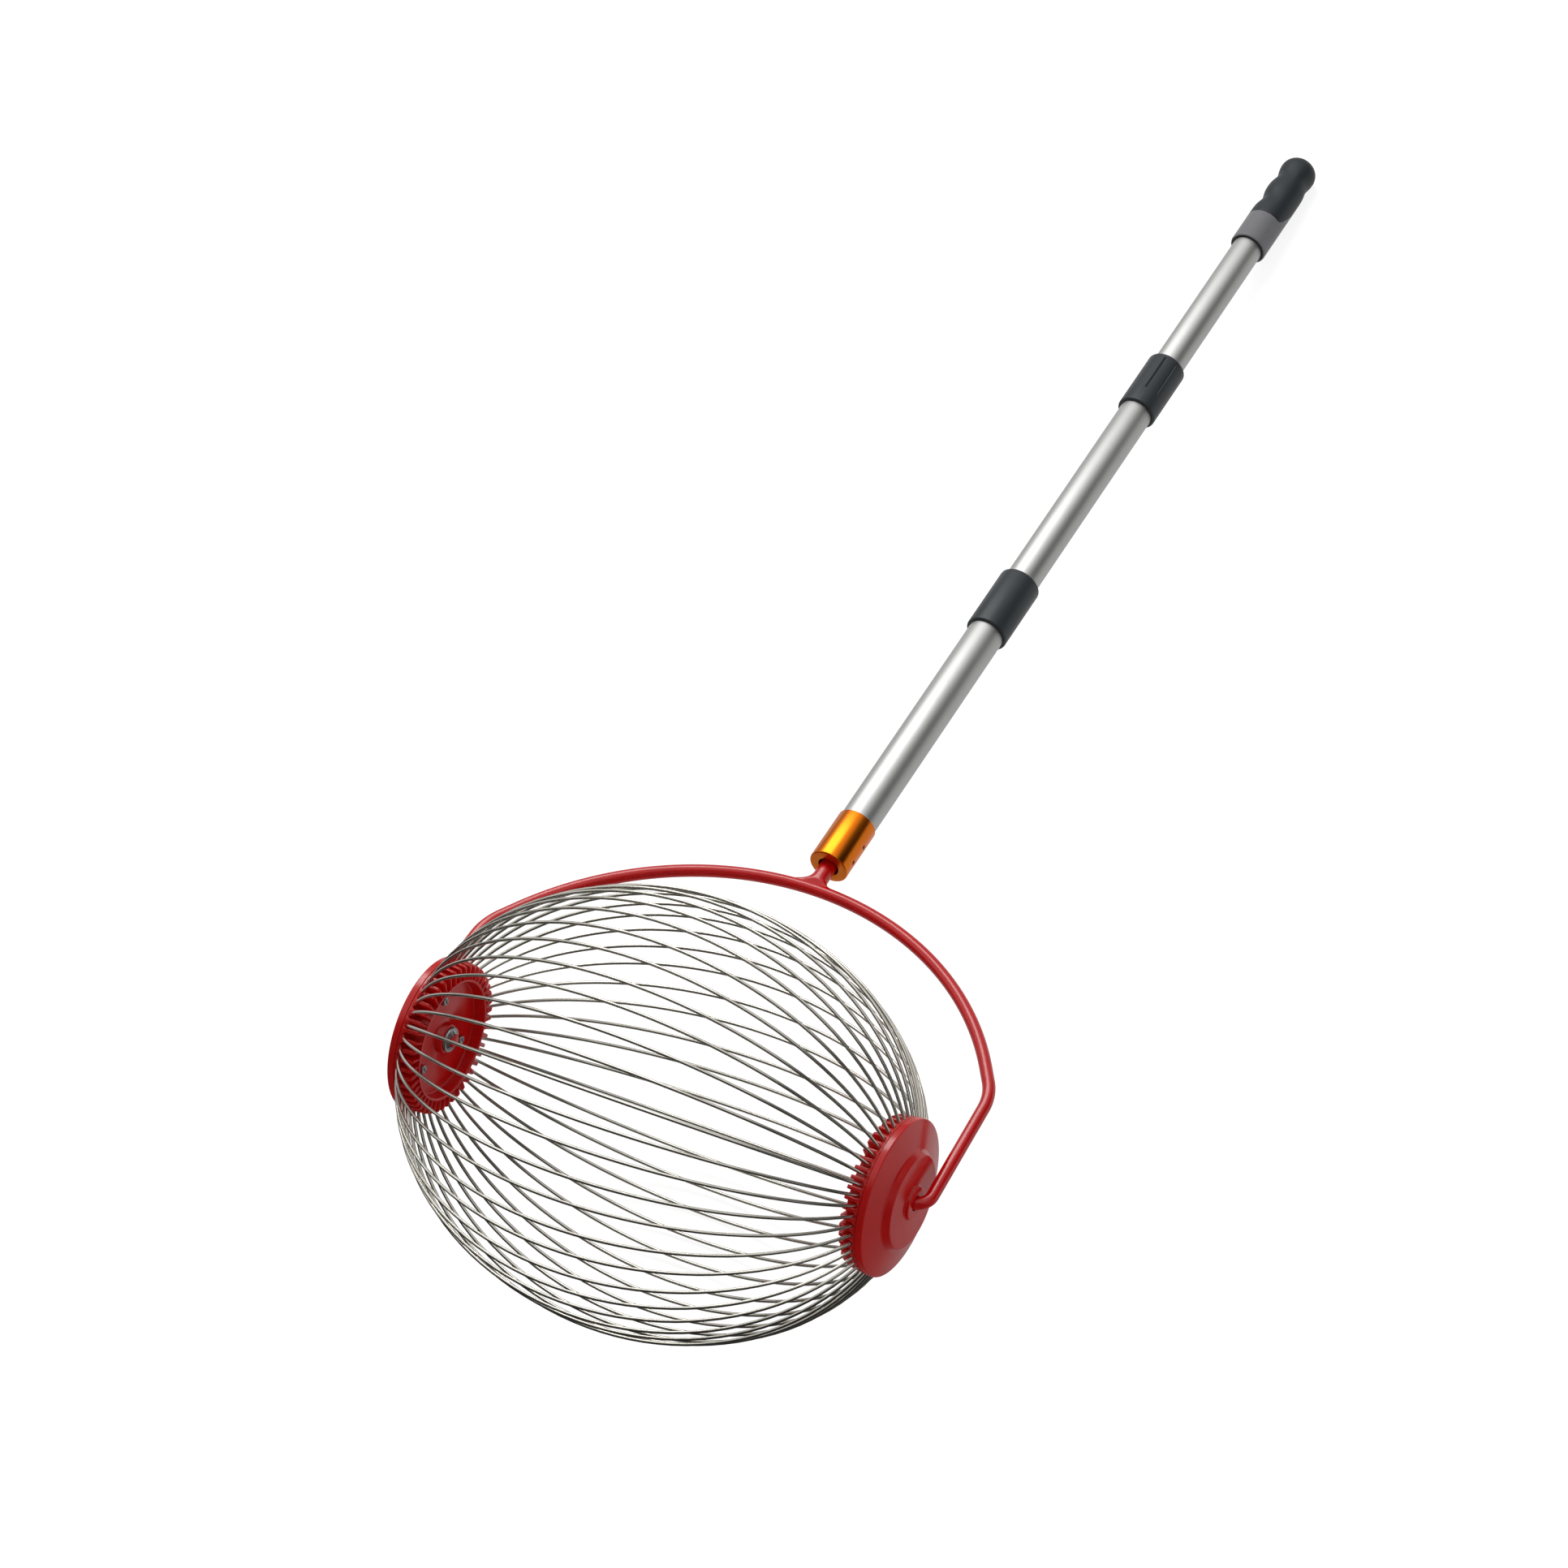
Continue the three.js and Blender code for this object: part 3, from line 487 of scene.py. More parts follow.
def bend(before, corner, after, radius, steps):
    """Points of the round bend at a corner, in a plane."""
    arriving = (corner - before).normalized()
    leaving = (after - corner).normalized()
    turn = math.acos(max(-1.0, min(1.0, arriving.dot(leaving))))
    if radius <= 0 or turn < math.radians(0.5):
        return [corner]
    room = 0.49 * min((corner - before).length, (after - corner).length)
    radius = min(radius, room / math.tan(turn / 2))
    sense = math.copysign(1.0, arriving.x * leaving.y - arriving.y * leaving.x)
    start = corner - arriving * radius * math.tan(turn / 2)
    centre = start + sense * radius * Vector((-arriving.y, arriving.x))
    spoke = start - centre
    return [centre + Matrix.Rotation(sense * turn * i / steps, 2) @ spoke for i in range(steps + 1)]


def rounded(corners, steps=5):
    """The points of a closed outline given as (x, y, rounding) corners."""
    points = []
    for i, (x, y, rounding) in enumerate(corners):
        before = Vector(corners[i - 1][:2])
        after = Vector(corners[(i + 1) % len(corners)][:2])
        points += bend(before, Vector((x, y)), after, rounding, steps)
    return points


def even_turns(count):
    return [2 * math.pi * i / count for i in range(count)]


def face(bm, vertices):
    """A face from corners of which some may be the same vertex."""
    kept = list(dict.fromkeys(vertices))
    if len(kept) > 2:
        bm.faces.new(kept)


def skin(bm, rings, round_it=True):
    """Faces between each ring of vertices and the next."""
    for ring, following in zip(rings, rings[1:]):
        count = len(ring)
        for i in range(count if round_it else count - 1):
            j = (i + 1) % count
            face(bm, [ring[i], ring[j], following[j], following[i]])


def polar(radius, turn, height):
    """The point at a radius, turn and height about local Z."""
    return radius * math.cos(turn), radius * math.sin(turn), height


def ring_of(bm, turns, radius, height):
    """Vertices about local Z, all at one radius and height."""
    return [bm.verts.new(polar(radius, turn, height)) for turn in turns]


def turned(corners, turns, steps=5):
    """A body turned about local Z from a closed outline of (radius, height, rounding) corners."""
    bm = bmesh.new()
    rings = [ring_of(bm, turns, point.x, point.y) for point in rounded(corners, steps)]
    skin(bm, [*rings, rings[0]])
    return bm


def sleeve(inner, outer, start, end, roundings, sides, steps=5):
    """A turned tube; its roundings go inner start, outer start, outer end, inner end."""
    places = ((inner, start), (outer, start), (outer, end), (inner, end))
    corners = [(*place, rounding) for place, rounding in zip(places, roundings)]
    return turned(corners, even_turns(sides), steps)


def swept(route, radius, sides, edge):
    """A round rod along a route, with slightly rounded ends."""
    bm = bmesh.new()
    last = len(route) - 1
    ways = [(route[min(i + 1, last)] - route[max(i - 1, 0)]).normalized() for i in range(last + 1)]
    across = ways[0].orthogonal().normalized()
    stations = [(0, 0, radius - edge), (0, -edge, radius)]
    stations += [(i, 0, radius) for i in range(1, last)]
    stations += [(last, edge, radius), (last, 0, radius - edge)]
    rings = []
    for i, pull, size in stations:
        across = (across - across.dot(ways[i]) * ways[i]).normalized()
        other = ways[i].cross(across)
        centre = route[i] - pull * ways[i]
        rings.append([
            bm.verts.new(centre + size * (math.cos(turn) * across + math.sin(turn) * other))
            for turn in even_turns(sides)
        ])
    skin(bm, rings)
    face(bm, rings[0])
    face(bm, rings[-1])
    return bm


def carved(bm, cutters):
    """A bmesh with round holes cut by others, made with the Boolean modifier."""
    body = as_object(bm, "blank")
    tools = [as_object(cutter, "tool") for cutter in cutters]
    for tool in tools:
        hole = body.modifiers.new("hole", "BOOLEAN")
        hole.operation = "DIFFERENCE"
        hole.solver = "EXACT"
        hole.object = tool
    shaped = body.evaluated_get(bpy.context.evaluated_depsgraph_get())
    result = bmesh.new()
    result.from_mesh(shaped.to_mesh())
    shaped.to_mesh_clear()
    for used in [body, *tools]:
        mesh = used.data
        bpy.data.objects.remove(used)
        bpy.data.meshes.remove(mesh)
    return result


# Cage wires

ARC_STEPS = 44
BEND_STEPS = 8


def wander(number):
    """A steady spread of values from -1 to 1, one for each number."""
    fast, slow, shift = 2.399, 1.13, 0.7
    return math.sin(fast * number + shift) * math.cos(slow * number)


def cage_point(x, radius, turn, aside=0.0):
    """A point about the axle: x along it, radius and turn round it, and a step aside."""
    outward = Vector((0, math.cos(turn), math.sin(turn)))
    sideways = Vector((0, -math.sin(turn), math.cos(turn)))
    return AXLE + x * ACROSS + radius * outward + aside * sideways


def wire_arc(sizes, reach, belly, turn, number):
    """One wire's centre line from its seat at -X to its seat at +X, on a half ellipse."""
    start = math.asin(sizes.seat_radius / belly)
    arc_reach = reach / math.cos(start)
    slack = sizes.slack * (0.5 + 0.5 * wander(number + 40))
    sway = sizes.sway * wander(number)
    points = []
    for i in range(ARC_STEPS + 1):
        share = i / ARC_STEPS
        along = start + (math.pi - 2 * start) * share
        lean = math.sin(math.pi * share) ** 2
        radius = belly * math.sin(along) - slack * lean
        points.append(cage_point(-arc_reach * math.cos(along), radius, turn, sway * lean))
    return points


def hairpin(sizes, index, reach, belly):
    """The centre line of two neighbouring wires that are one spring, bent round inside a hub."""
    pitch = math.pi / PAIR_COUNT
    side = -1 if index % 2 else 1
    turns = [(2 * index + 0.5) * pitch, (2 * index + 1.5) * pitch]
    arcs = [wire_arc(sizes, reach, belly, turn, 2 * index + n) for n, turn in enumerate(turns)]
    if side < 0:
        arcs = [arc[::-1] for arc in arcs]
    tails = [cage_point(-side * reach, sizes.seat_radius - sizes.tail, turn) for turn in turns]
    centre = (arcs[0][-1] + arcs[1][-1]) / 2
    spoke = arcs[0][-1] - centre
    inward = cage_point(0, -spoke.length, sum(turns) / 2) - AXLE
    bends = [math.pi * i / BEND_STEPS for i in range(1, BEND_STEPS)]
    loop = [centre + math.cos(turn) * spoke + math.sin(turn) * inward for turn in bends]
    return [tails[0], *arcs[0], *loop, *arcs[1][::-1], tails[1]]


# Hubs

END_STEPS = 8


def crown(sizes, bottom, top, boss_top, tip_radius, bore_radius):
    """The toothed cup: round-ended slots in its outside, a smooth wall inside, and the bush's boss."""
    bm = bmesh.new()
    half_pitch = math.pi / (2 * PAIR_COUNT)
    half_slot = sizes.slot_width / 2
    edge = sizes.tooth_edge
    # How far in the middle of a rounding lies, as a share of its radius
    half_round = 0.29
    slot_end = top - sizes.slot_end_inset - edge - half_slot
    taper = sizes.tooth_taper / (top - bottom)
    corner = sizes.tooth_corner
    narrowing = edge / corner
    end_rows = [
        (bottom, corner), (bottom + half_round * corner, half_round * corner), (bottom + corner, 0.0),
    ]
    rows = len(end_rows)
    seat = top - sizes.seat_drop
    floor_height = seat - sizes.floor_thickness
    boss_bottom = floor_height - sizes.crown_boss_inset
    cup = sizes.cup_radius
    boss = sizes.crown_boss_radius
    fillet = 1.5 * edge
    fillet_middle = 0.3 * fillet
    inside = [
        (cup + edge, bottom), (cup + half_round * edge, bottom + half_round * edge), (cup, bottom + edge),
        (cup, floor_height - fillet), (cup - fillet_middle, floor_height - fillet_middle),
        (cup - fillet, floor_height), (boss + edge, floor_height), (boss, floor_height - edge),
        (boss, boss_bottom + edge), (boss - edge, boss_bottom), (bore_radius + edge, boss_bottom),
        (bore_radius, boss_bottom + edge), (bore_radius, boss_top), (boss, boss_top), (boss, seat),
        (tip_radius - sizes.edge_width, seat), (tip_radius - sizes.edge_width, top),
    ]

    def tip(height):
        return tip_radius - taper * (top - height)

    def outline(offset):
        """(sideways, height, rounding) along a slot's edge, from the cage side round its end and back."""
        side = [(half_slot + max(offset, narrowing * inset), height, inset) for height, inset in end_rows]
        left = [(-aside, height, inset) for aside, height, inset in side]
        radius = half_slot + offset
        turns = [math.pi * k / END_STEPS for k in range(END_STEPS + 1)]
        end = [(-radius * math.cos(turn), slot_end + radius * math.sin(turn), 0.0) for turn in turns]
        return [*left, *end, *side[::-1]]

    for pitch in range(2 * PAIR_COUNT):
        middle_turn = (2 * pitch + 1) * half_pitch

        def at(aside, radius, height):
            return bm.verts.new(polar(radius, middle_turn + math.asin(aside / radius), height))

        def on_edge(sign, radius, height):
            return bm.verts.new(polar(radius, middle_turn + sign * half_pitch, height))

        rings = []
        for offset, depth in ((edge, 0.0), (half_round * edge, half_round * edge), (0.0, edge)):
            rings.append([at(a, tip(h) - max(depth, inset), h) for a, h, inset in outline(offset)])
        rings.append([at(a, sizes.slot_floor, h) for a, h, inset in outline(0.0)])
        skin(bm, rings, round_it=False)

        floor_ring = rings[-1]
        last = len(floor_ring) - 1
        half = last // 2
        mids = [at(0.0, sizes.slot_floor, h) for a, h, inset in outline(0.0)[:half]]
        mids.append(floor_ring[half])
        for i in range(half):
            face(bm, [floor_ring[i], mids[i], mids[i + 1], floor_ring[i + 1]])
            face(bm, [mids[i], floor_ring[last - i], floor_ring[last - i - 1], mids[i + 1]])

        outer = rings[0]
        heights = [*end_rows, (slot_end, 0.0)]
        walls = [[on_edge(sign, tip(h) - inset, h) for h, inset in heights] for sign in (-1, 1)]
        for i in range(rows):
            face(bm, [walls[0][i], outer[i], outer[i + 1], walls[0][i + 1]])
            face(bm, [outer[last - i], walls[1][i], walls[1][i + 1], outer[last - i - 1]])
        upper = [on_edge(-1, tip_radius, top)]
        upper += [at(a, tip_radius, top) for a, h, inset in outline(edge)[rows:-rows]]
        upper.append(on_edge(1, tip_radius, top))
        lower = [walls[0][-1], *outer[rows:-rows], walls[1][-1]]
        skin(bm, [lower, upper], round_it=False)

        floor_turn = math.asin((half_slot + edge) / sizes.slot_floor)
        turns = [middle_turn + t for t in (-half_pitch, -floor_turn, 0.0, floor_turn, half_pitch)]
        end_face = [
            on_edge(-1, sizes.slot_floor, bottom), floor_ring[0], mids[0], floor_ring[last],
            on_edge(1, sizes.slot_floor, bottom),
        ]
        face(bm, [walls[0][0], outer[0], floor_ring[0], end_face[0]])
        face(bm, [outer[last], walls[1][0], end_face[-1], floor_ring[last]])
        inner = [ring_of(bm, turns, r, h) for r, h in inside]
        skin(bm, [end_face, *inner], round_it=False)
        face(bm, [*upper, *inner[-1][::-1]])
    return bm


def cover(sizes, lip_edge, eye_face, rim_radius, rod_radius):
    """The domed outer half: rim band, shallow face, boss and the eye that the rod comes out of."""
    rim_top = lip_edge + sizes.rim_height
    boss_foot = rim_top + sizes.face_rise
    boss_face = boss_foot + sizes.boss_rise
    bore = rod_radius + sizes.bore_gap
    wall = sizes.cover_wall
    inner_rim = rim_radius - sizes.rim_lip
    rounding = sizes.rim_rounding
    corners = [
        (inner_rim, lip_edge, 0),
        (rim_radius, lip_edge, rounding / 3),
        (rim_radius, rim_top, rounding),
        (sizes.boss_foot_radius, boss_foot, 3 * rounding),
        (sizes.boss_face_radius, boss_face, 1.5 * rounding),
        (sizes.eye_radius, boss_face, 1.2 * rounding),
        (sizes.eye_radius, eye_face, rounding),
        (bore, eye_face, rounding / 2),
        (bore, boss_face - wall, 0),
        (sizes.boss_face_radius - wall, boss_face - wall, 0),
        (sizes.boss_foot_radius - wall, boss_foot - wall, 0),
        (inner_rim, rim_top - wall, 0),
    ]
    return turned(corners, even_turns(144), 7)


def retainer(near, far, bore, radius):
    """A dished push-on washer whose slit legs grip the rod."""
    legs, leg_steps, slit_steps = 6, 8, 2
    turns = even_turns(leg_steps * legs)
    thickness, bevel, slit_depth, leg_root = 0.6 * MM, 0.2 * MM, 1.8 * MM, 2.2 * MM
    slit_dish = 0.15
    dish = near - far - thickness
    root = bore + leg_root
    bm = bmesh.new()
    rows = ((radius, near), (radius - bevel, near - thickness), (root, near - thickness))
    rings = [ring_of(bm, turns, r, height) for r, height in rows]
    for drop in (thickness, 0.0):
        ring = []
        for i, turn in enumerate(turns):
            in_slit = i % leg_steps < slit_steps
            reach = bore + (slit_depth if in_slit else 0.0)
            fall = dish * (slit_dish if in_slit else 1.0)
            ring.append(bm.verts.new(polar(reach, turn, near - fall - drop)))
        rings.append(ring)
    rings.append(ring_of(bm, turns, root, near))
    skin(bm, [*rings, rings[0]])
    return bm


def pan_head_screw(low, high):
    """A small screw with a cross recess, its head at the low end."""
    head, head_height, shank = 2.8 * MM, 1.6 * MM, 1.3 * MM
    arm_half, arm_reach, recess, step = 0.36 * MM, 1.6 * MM, 0.9 * MM, 0.32 * MM
    corners = [(number * step, low, 0) for number in range(6)]
    corners += [
        (head, low, 1.0 * MM), (head, low + head_height, 0.1 * MM), (shank, low + head_height, 0),
        (shank, high, 0.3 * MM), (0, high, 0),
    ]
    bm = turned(corners, even_turns(40))
    for vertex in bm.verts:
        x, y, height = vertex.co
        in_arm = min(abs(x), abs(y)) < arm_half and math.hypot(x, y) < arm_reach
        if in_arm and height < low + MERGE:
            vertex.co.z += recess * (1 - 0.4 * math.hypot(x, y) / arm_reach)
    return bm


# Yoke

def yoke_route(sizes, foot_reach, arch_top, tip):
    """The rod's centre line, from the tip in the right hub over the arch to the tip in the left one."""
    shoulder_reach = foot_reach - sizes.shoulder_inset
    radius = sizes.arch_radius
    end = math.acos((shoulder_reach - sizes.shoulder_lead) / radius)
    arch_centre = arch_top - radius
    arch_end = Vector((radius * math.cos(end), arch_centre + radius * math.sin(end)))
    shoulder = Vector((shoulder_reach, arch_end.y - (shoulder_reach - arch_end.x) / math.tan(end)))
    foot = Vector((foot_reach, 0))
    start = Vector((tip, 0))
    side = [start, start + Vector((2 * sizes.tip_edge, 0))]
    bend_steps, arch_steps = 12, 72
    side += bend(start, foot, shoulder, sizes.foot_bend, bend_steps)
    side += bend(foot, shoulder, arch_end, sizes.shoulder_bend, bend_steps)
    turns = [end + (math.pi - 2 * end) * i / arch_steps for i in range(arch_steps + 1)]
    arch = [Vector((radius * math.cos(t), arch_centre + radius * math.sin(t))) for t in turns]
    other = [Vector((-point.x, point.y)) for point in side[::-1]]
    return [AXLE + point.x * ACROSS + point.y * POLE for point in [*side, *arch, *other]]


def stub(sizes, arch_top, end):
    """The stub with its weld: a fillet that wraps the rod below and runs up the stub."""
    bm = bmesh.new()
    rod = sizes.rod_diameter / 2
    radius = sizes.stub_diameter / 2
    sunk, edge = 0.05 * MM, 0.6 * MM
    wrap_share, low_share, far_share = 0.97, 0.55, 0.6
    # How far the fillet's curve first goes aside, up and in, and how far it comes down at the stub
    pull_aside, pull_up, pull_inward, pull_down = 0.75, 0.45, 0.6, 0.7
    rows = 12
    turns = even_turns(64)
    rings = [[] for _ in range(rows + 1)]
    for turn in turns:
        up, aside = math.cos(turn), math.sin(turn)
        reach = radius + (sizes.weld_right if aside > 0 else sizes.weld_left)
        foot_aside = reach * aside
        foot_up = wrap_share * rod * up
        sag = foot_aside * foot_aside / (2 * sizes.arch_radius)
        foot_height = arch_top - sag + math.sqrt(rod * rod - foot_up * foot_up) - sunk
        foot = Vector((foot_up, foot_aside, foot_height))
        rise = low_share + (1 - low_share) * aside**2 * (1 if aside < 0 else far_share)
        top = Vector((radius * up, radius * aside, arch_top + rod + sizes.weld_height * rise))
        sideways = Vector((0.0, radius * aside - foot_aside, 0.0))
        near_foot = foot + pull_aside * aside * aside * sideways
        near_foot.z += pull_up * up * up * (top.z - foot.z)
        near_foot.x += pull_inward * up * up * (top.x - foot.x)
        near_top = top - Vector((0, 0, pull_down * (top.z - foot.z)))
        for row, ring in enumerate(rings):
            t = row / rows
            s = 1 - t
            point = s**3 * foot + 3 * s * s * t * near_foot + 3 * s * t * t * near_top + t**3 * top
            ring.append(bm.verts.new(point))
    rings.append(ring_of(bm, turns, radius, end - edge))
    rings.append(ring_of(bm, turns, radius - edge, end))
    skin(bm, rings)
    face(bm, rings[-1])
    inside_rod = bm.verts.new((0.0, 0.0, arch_top))
    skin(bm, [[inside_rod] * len(turns), rings[0]])
    return bm


# Ferrule, tubes and locks

def ferrule(sizes, seen, tube_radius):
    """The orange ferrule, with a narrower mouth for the stub."""
    bore = tube_radius + FIT_GAP
    mouth = sizes.ferrule_mouth
    edge = sizes.ferrule_edge
    step = seen.start + sizes.ferrule_end
    corners = [
        (mouth, seen.start, edge / 2), (seen.outer, seen.start, edge), (seen.outer, seen.end, edge / 2),
        (bore, seen.end, 0), (bore, step, 0), (mouth, step, 0),
    ]
    return turned(corners, even_turns(96))


def pull_in(vertex, share):
    """Moves a vertex towards local Z, or away from it where the share is over 1."""
    vertex.co.x *= share
    vertex.co.y *= share


def hexagon_radius(flat, turn):
    """How far a hexagon with that half width reaches at a turn."""
    sector = math.pi / 3
    return flat / math.cos((turn % sector) - sector / 2)


def set_screw(sizes, inner, outer):
    """A grub screw with a hexagon socket, a little below the ferrule's surface."""
    top = outer - sizes.screw_sink
    socket, depth, flat_share = 0.72 * MM, 1.2 * MM, 0.9
    radius = sizes.screw_radius
    corners = [
        (0, inner, 0), (radius, inner, 0.2 * MM), (radius, top, 0.25 * MM), (socket, top, 0),
        (socket, top - depth, 0), (0, top - depth, 0),
    ]
    bm = turned(corners, even_turns(36))
    for vertex in bm.verts:
        reach = math.hypot(vertex.co.x, vertex.co.y)
        if abs(reach - socket) < MERGE:
            turn = math.atan2(vertex.co.y, vertex.co.x)
            pull_in(vertex, hexagon_radius(flat_share * socket, turn) / reach)
    return bm


def lock_outline(sizes, seen, lower_bore, upper_bore, groove_rows=()):
    """A collar's outline: a lip at each end and a wider bore for the collet between."""
    edge = sizes.lock_edge
    bore_edge, collet_room = 0.3 * MM, 1.0 * MM
    bore = lower_bore + collet_room
    low, high = seen.start + sizes.lock_lip, seen.end - sizes.lock_lip
    return [
        (lower_bore, seen.start, bore_edge), (seen.outer, seen.start, edge),
        *[(seen.outer, height, 0) for height in groove_rows],
        (seen.outer, seen.end, edge), (upper_bore, seen.end, bore_edge),
        (upper_bore, high, 0), (bore, high, 0), (bore, low, 0), (lower_bore, low, 0),
    ]


def grooved_lock(sizes, seen, lower_bore, upper_bore):
    """The upper collar, with two pairs of fine V-shaped grooves."""
    half = sizes.groove_width / 2 / seen.outer
    shoulder = 0.12 * MM / seen.outer
    start = seen.start + sizes.groove_start
    end = start + sizes.groove_length
    inset = 0.3 * MM
    places = [sizes.groove_angle, sizes.groove_angle + sizes.groove_spread]
    places += [place + math.pi for place in places]

    def beside(turn):
        """The angle between a turn and the nearest groove."""
        return min(abs(math.remainder(turn - place, 2 * math.pi)) for place in places)

    steps = (-half - shoulder, -half, 0.0, half, half + shoulder)
    turns = [place + step for place in places for step in steps]
    turns += [turn for turn in even_turns(80) if beside(turn) > half + 2 * shoulder]
    turns = sorted(turn % (2 * math.pi) for turn in turns)
    rows = [start, start + inset, (start + end) / 2, end - inset, end]
    bm = turned(lock_outline(sizes, seen, lower_bore, upper_bore, rows), turns)
    for vertex in bm.verts:
        reach = math.hypot(vertex.co.x, vertex.co.y)
        away = beside(math.atan2(vertex.co.y, vertex.co.x))
        on_row = start + MERGE < vertex.co.z < end - MERGE
        if on_row and away < half + MERGE and reach > seen.outer - MERGE:
            pull_in(vertex, 1 - sizes.groove_depth * (1 - away / (half + shoulder)) / reach)
    return bm


# Grip

class GripForm:
    """The outer form of the grip, shared by the grey ring and the rubber."""

    def __init__(self, sizes, ring, rubber):
        self.sizes = sizes
        self.bottom = ring.start
        self.seam = ring.end
        self.top = rubber.end
        self.radius = ring.outer
        self.bore = ring.inner
        self.turns = even_turns(96)

    def seam_height(self, turn):
        """Height of the ring's upper edge, which runs up in a tongue on the palm side."""
        away = math.remainder(turn - self.sizes.tongue_angle, 2 * math.pi) / self.sizes.tongue_half_angle
        rise = math.cos(math.pi * away / 2) ** 2 if abs(away) < 1 else 0.0
        return self.seam + self.sizes.tongue_rise * rise

    def reach(self, turn, height):
        """Radius of the grip, with its finger dents and its waist."""
        sizes = self.sizes
        dent_steepness, waist_steepness, waist_share = 2.6, 2.0, 0.8
        above = height - self.seam
        facing = math.cos(math.remainder(turn - sizes.finger_angle, 2 * math.pi))
        radius = self.radius
        for number in range(2):
            away = (above - sizes.dent_first - number * sizes.dent_pitch) / sizes.dent_length
            radius -= sizes.dent_depth * max(0.0, facing) * math.exp(-dent_steepness * away * away)
        away = (above - sizes.waist_place) / (waist_share * sizes.dent_length)
        return radius - sizes.waist_depth * max(0.0, -facing) * math.exp(-waist_steepness * away * away)

    def loop(self, bm, height_at, radius_at):
        """Vertices round the grip, at a height for each turn and a radius for each turn and height."""
        heights = [(turn, height_at(turn)) for turn in self.turns]
        return [bm.verts.new(polar(radius_at(turn, height), turn, height)) for turn, height in heights]


def grip_ring(form):
    """The grey ring, with its tongue."""
    bm = bmesh.new()
    edge = form.sizes.ring_edge
    inner = form.bore + form.sizes.lip_wall
    edge_steps, side_steps = 6, 14
    rings = [ring_of(bm, form.turns, inner, form.bottom)]
    start = form.bottom + edge
    for k in range(edge_steps + 1):
        turn = math.pi / 2 * k / edge_steps
        radius = form.radius - edge + edge * math.sin(turn)
        rings.append(ring_of(bm, form.turns, radius, start - edge * math.cos(turn)))
    for k in range(1, side_steps + 1):
        rings.append(form.loop(
            bm, lambda t: start + (form.seam_height(t) - start) * k / side_steps, form.reach
        ))
    for drop in (form.sizes.seam, form.radius - inner):
        rings.append(form.loop(bm, form.seam_height, lambda t, height: form.reach(t, height) - drop))
    skin(bm, [*rings, rings[0]])
    return bm


def grip_lip(form):
    """The dark lip of the sleeve, just inside the ring's lower edge."""
    gap, length, edge = 0.05 * MM, 6 * MM, 0.4 * MM
    outer = form.bore + form.sizes.lip_wall - gap
    return sleeve(form.bore, outer, form.bottom + gap, form.bottom + length, (edge, edge, 0, 0), 72)


def grip_rubber(form, bore_end):
    """The rubber, closed at the butt, with its bore up to the tube's end."""
    bm = bmesh.new()
    gap = form.sizes.seam
    rounding = form.sizes.butt_rounding
    butt = form.top - rounding
    side_steps, butt_steps, fullness = 44, 16, 2.3

    def outer(turn, height):
        """Radius of the rubber, rolled over at the butt."""
        over = min(1.0, max(0.0, height - butt) / rounding)
        return form.reach(turn, height) * math.sqrt(1 - over**fullness)

    def low_edge(turn):
        return form.seam_height(turn) + gap

    rings = [
        ring_of(bm, form.turns, form.bore, bore_end),
        form.loop(bm, low_edge, lambda t, height: form.bore),
        form.loop(bm, low_edge, lambda t, height: form.reach(t, height - gap) - gap),
    ]
    for k in range(side_steps + 1):
        rings.append(form.loop(
            bm, lambda t: low_edge(t) + gap + (butt - low_edge(t) - gap) * k / side_steps, outer
        ))
    for k in range(1, butt_steps + 1):
        height = butt + rounding * math.sin(math.pi / 2 * k / butt_steps)
        rings.append(form.loop(bm, lambda t: height, outer))
    skin(bm, rings)
    face(bm, rings[0][::-1])
    return bm


# Operators

class COLLECTOR_OT_cage_wires(bpy.types.Operator):
    """Replace the cage's wire pairs with smooth hairpin springs"""

    bl_idname = "collector.cage_wires"
    bl_label = "Cage wires"

    def execute(self, context):
        sizes = context.scene.collector_cage
        seen = span("cage_wire_pair_01", ACROSS)
        radius = sizes.wire_diameter / 2
        reach = seen.end - radius
        belly = seen.outer - radius
        for index in range(PAIR_COUNT):
            node = f"cage_wire_pair_{index + 1:02d}"
            bm = swept(hairpin(sizes, index, reach, belly), radius, 12, 0.2 * MM)
            stands_for(bm, node, "spring_steel")
        return {"FINISHED"}


class COLLECTOR_OT_hubs(bpy.types.Operator):
    """Replace both hubs' crowns and covers with moulded forms"""

    bl_idname = "collector.hubs"
    bl_label = "Hubs"

    def execute(self, context):
        sizes = context.scene.collector_hub
        rod_radius = context.scene.collector_yoke.rod_diameter / 2
        for side, axis in HUB_AXIS.items():
            inner = span(f"{side}_hub_crown", axis)
            outer = span(f"{side}_hub_cover", axis)
            lip_edge = outer.start + sizes.lip_step
            top = lip_edge - FIT_GAP
            bm = crown(sizes, inner.start, top, inner.end, inner.outer, inner.inner)
            stands_for(bm, f"{side}_hub_crown", "red_plastic", ON_HUB[side])
            bm = cover(sizes, lip_edge, outer.end, outer.outer, rod_radius)
            stands_for(bm, f"{side}_hub_cover", "red_plastic", ON_HUB[side])
        return {"FINISHED"}


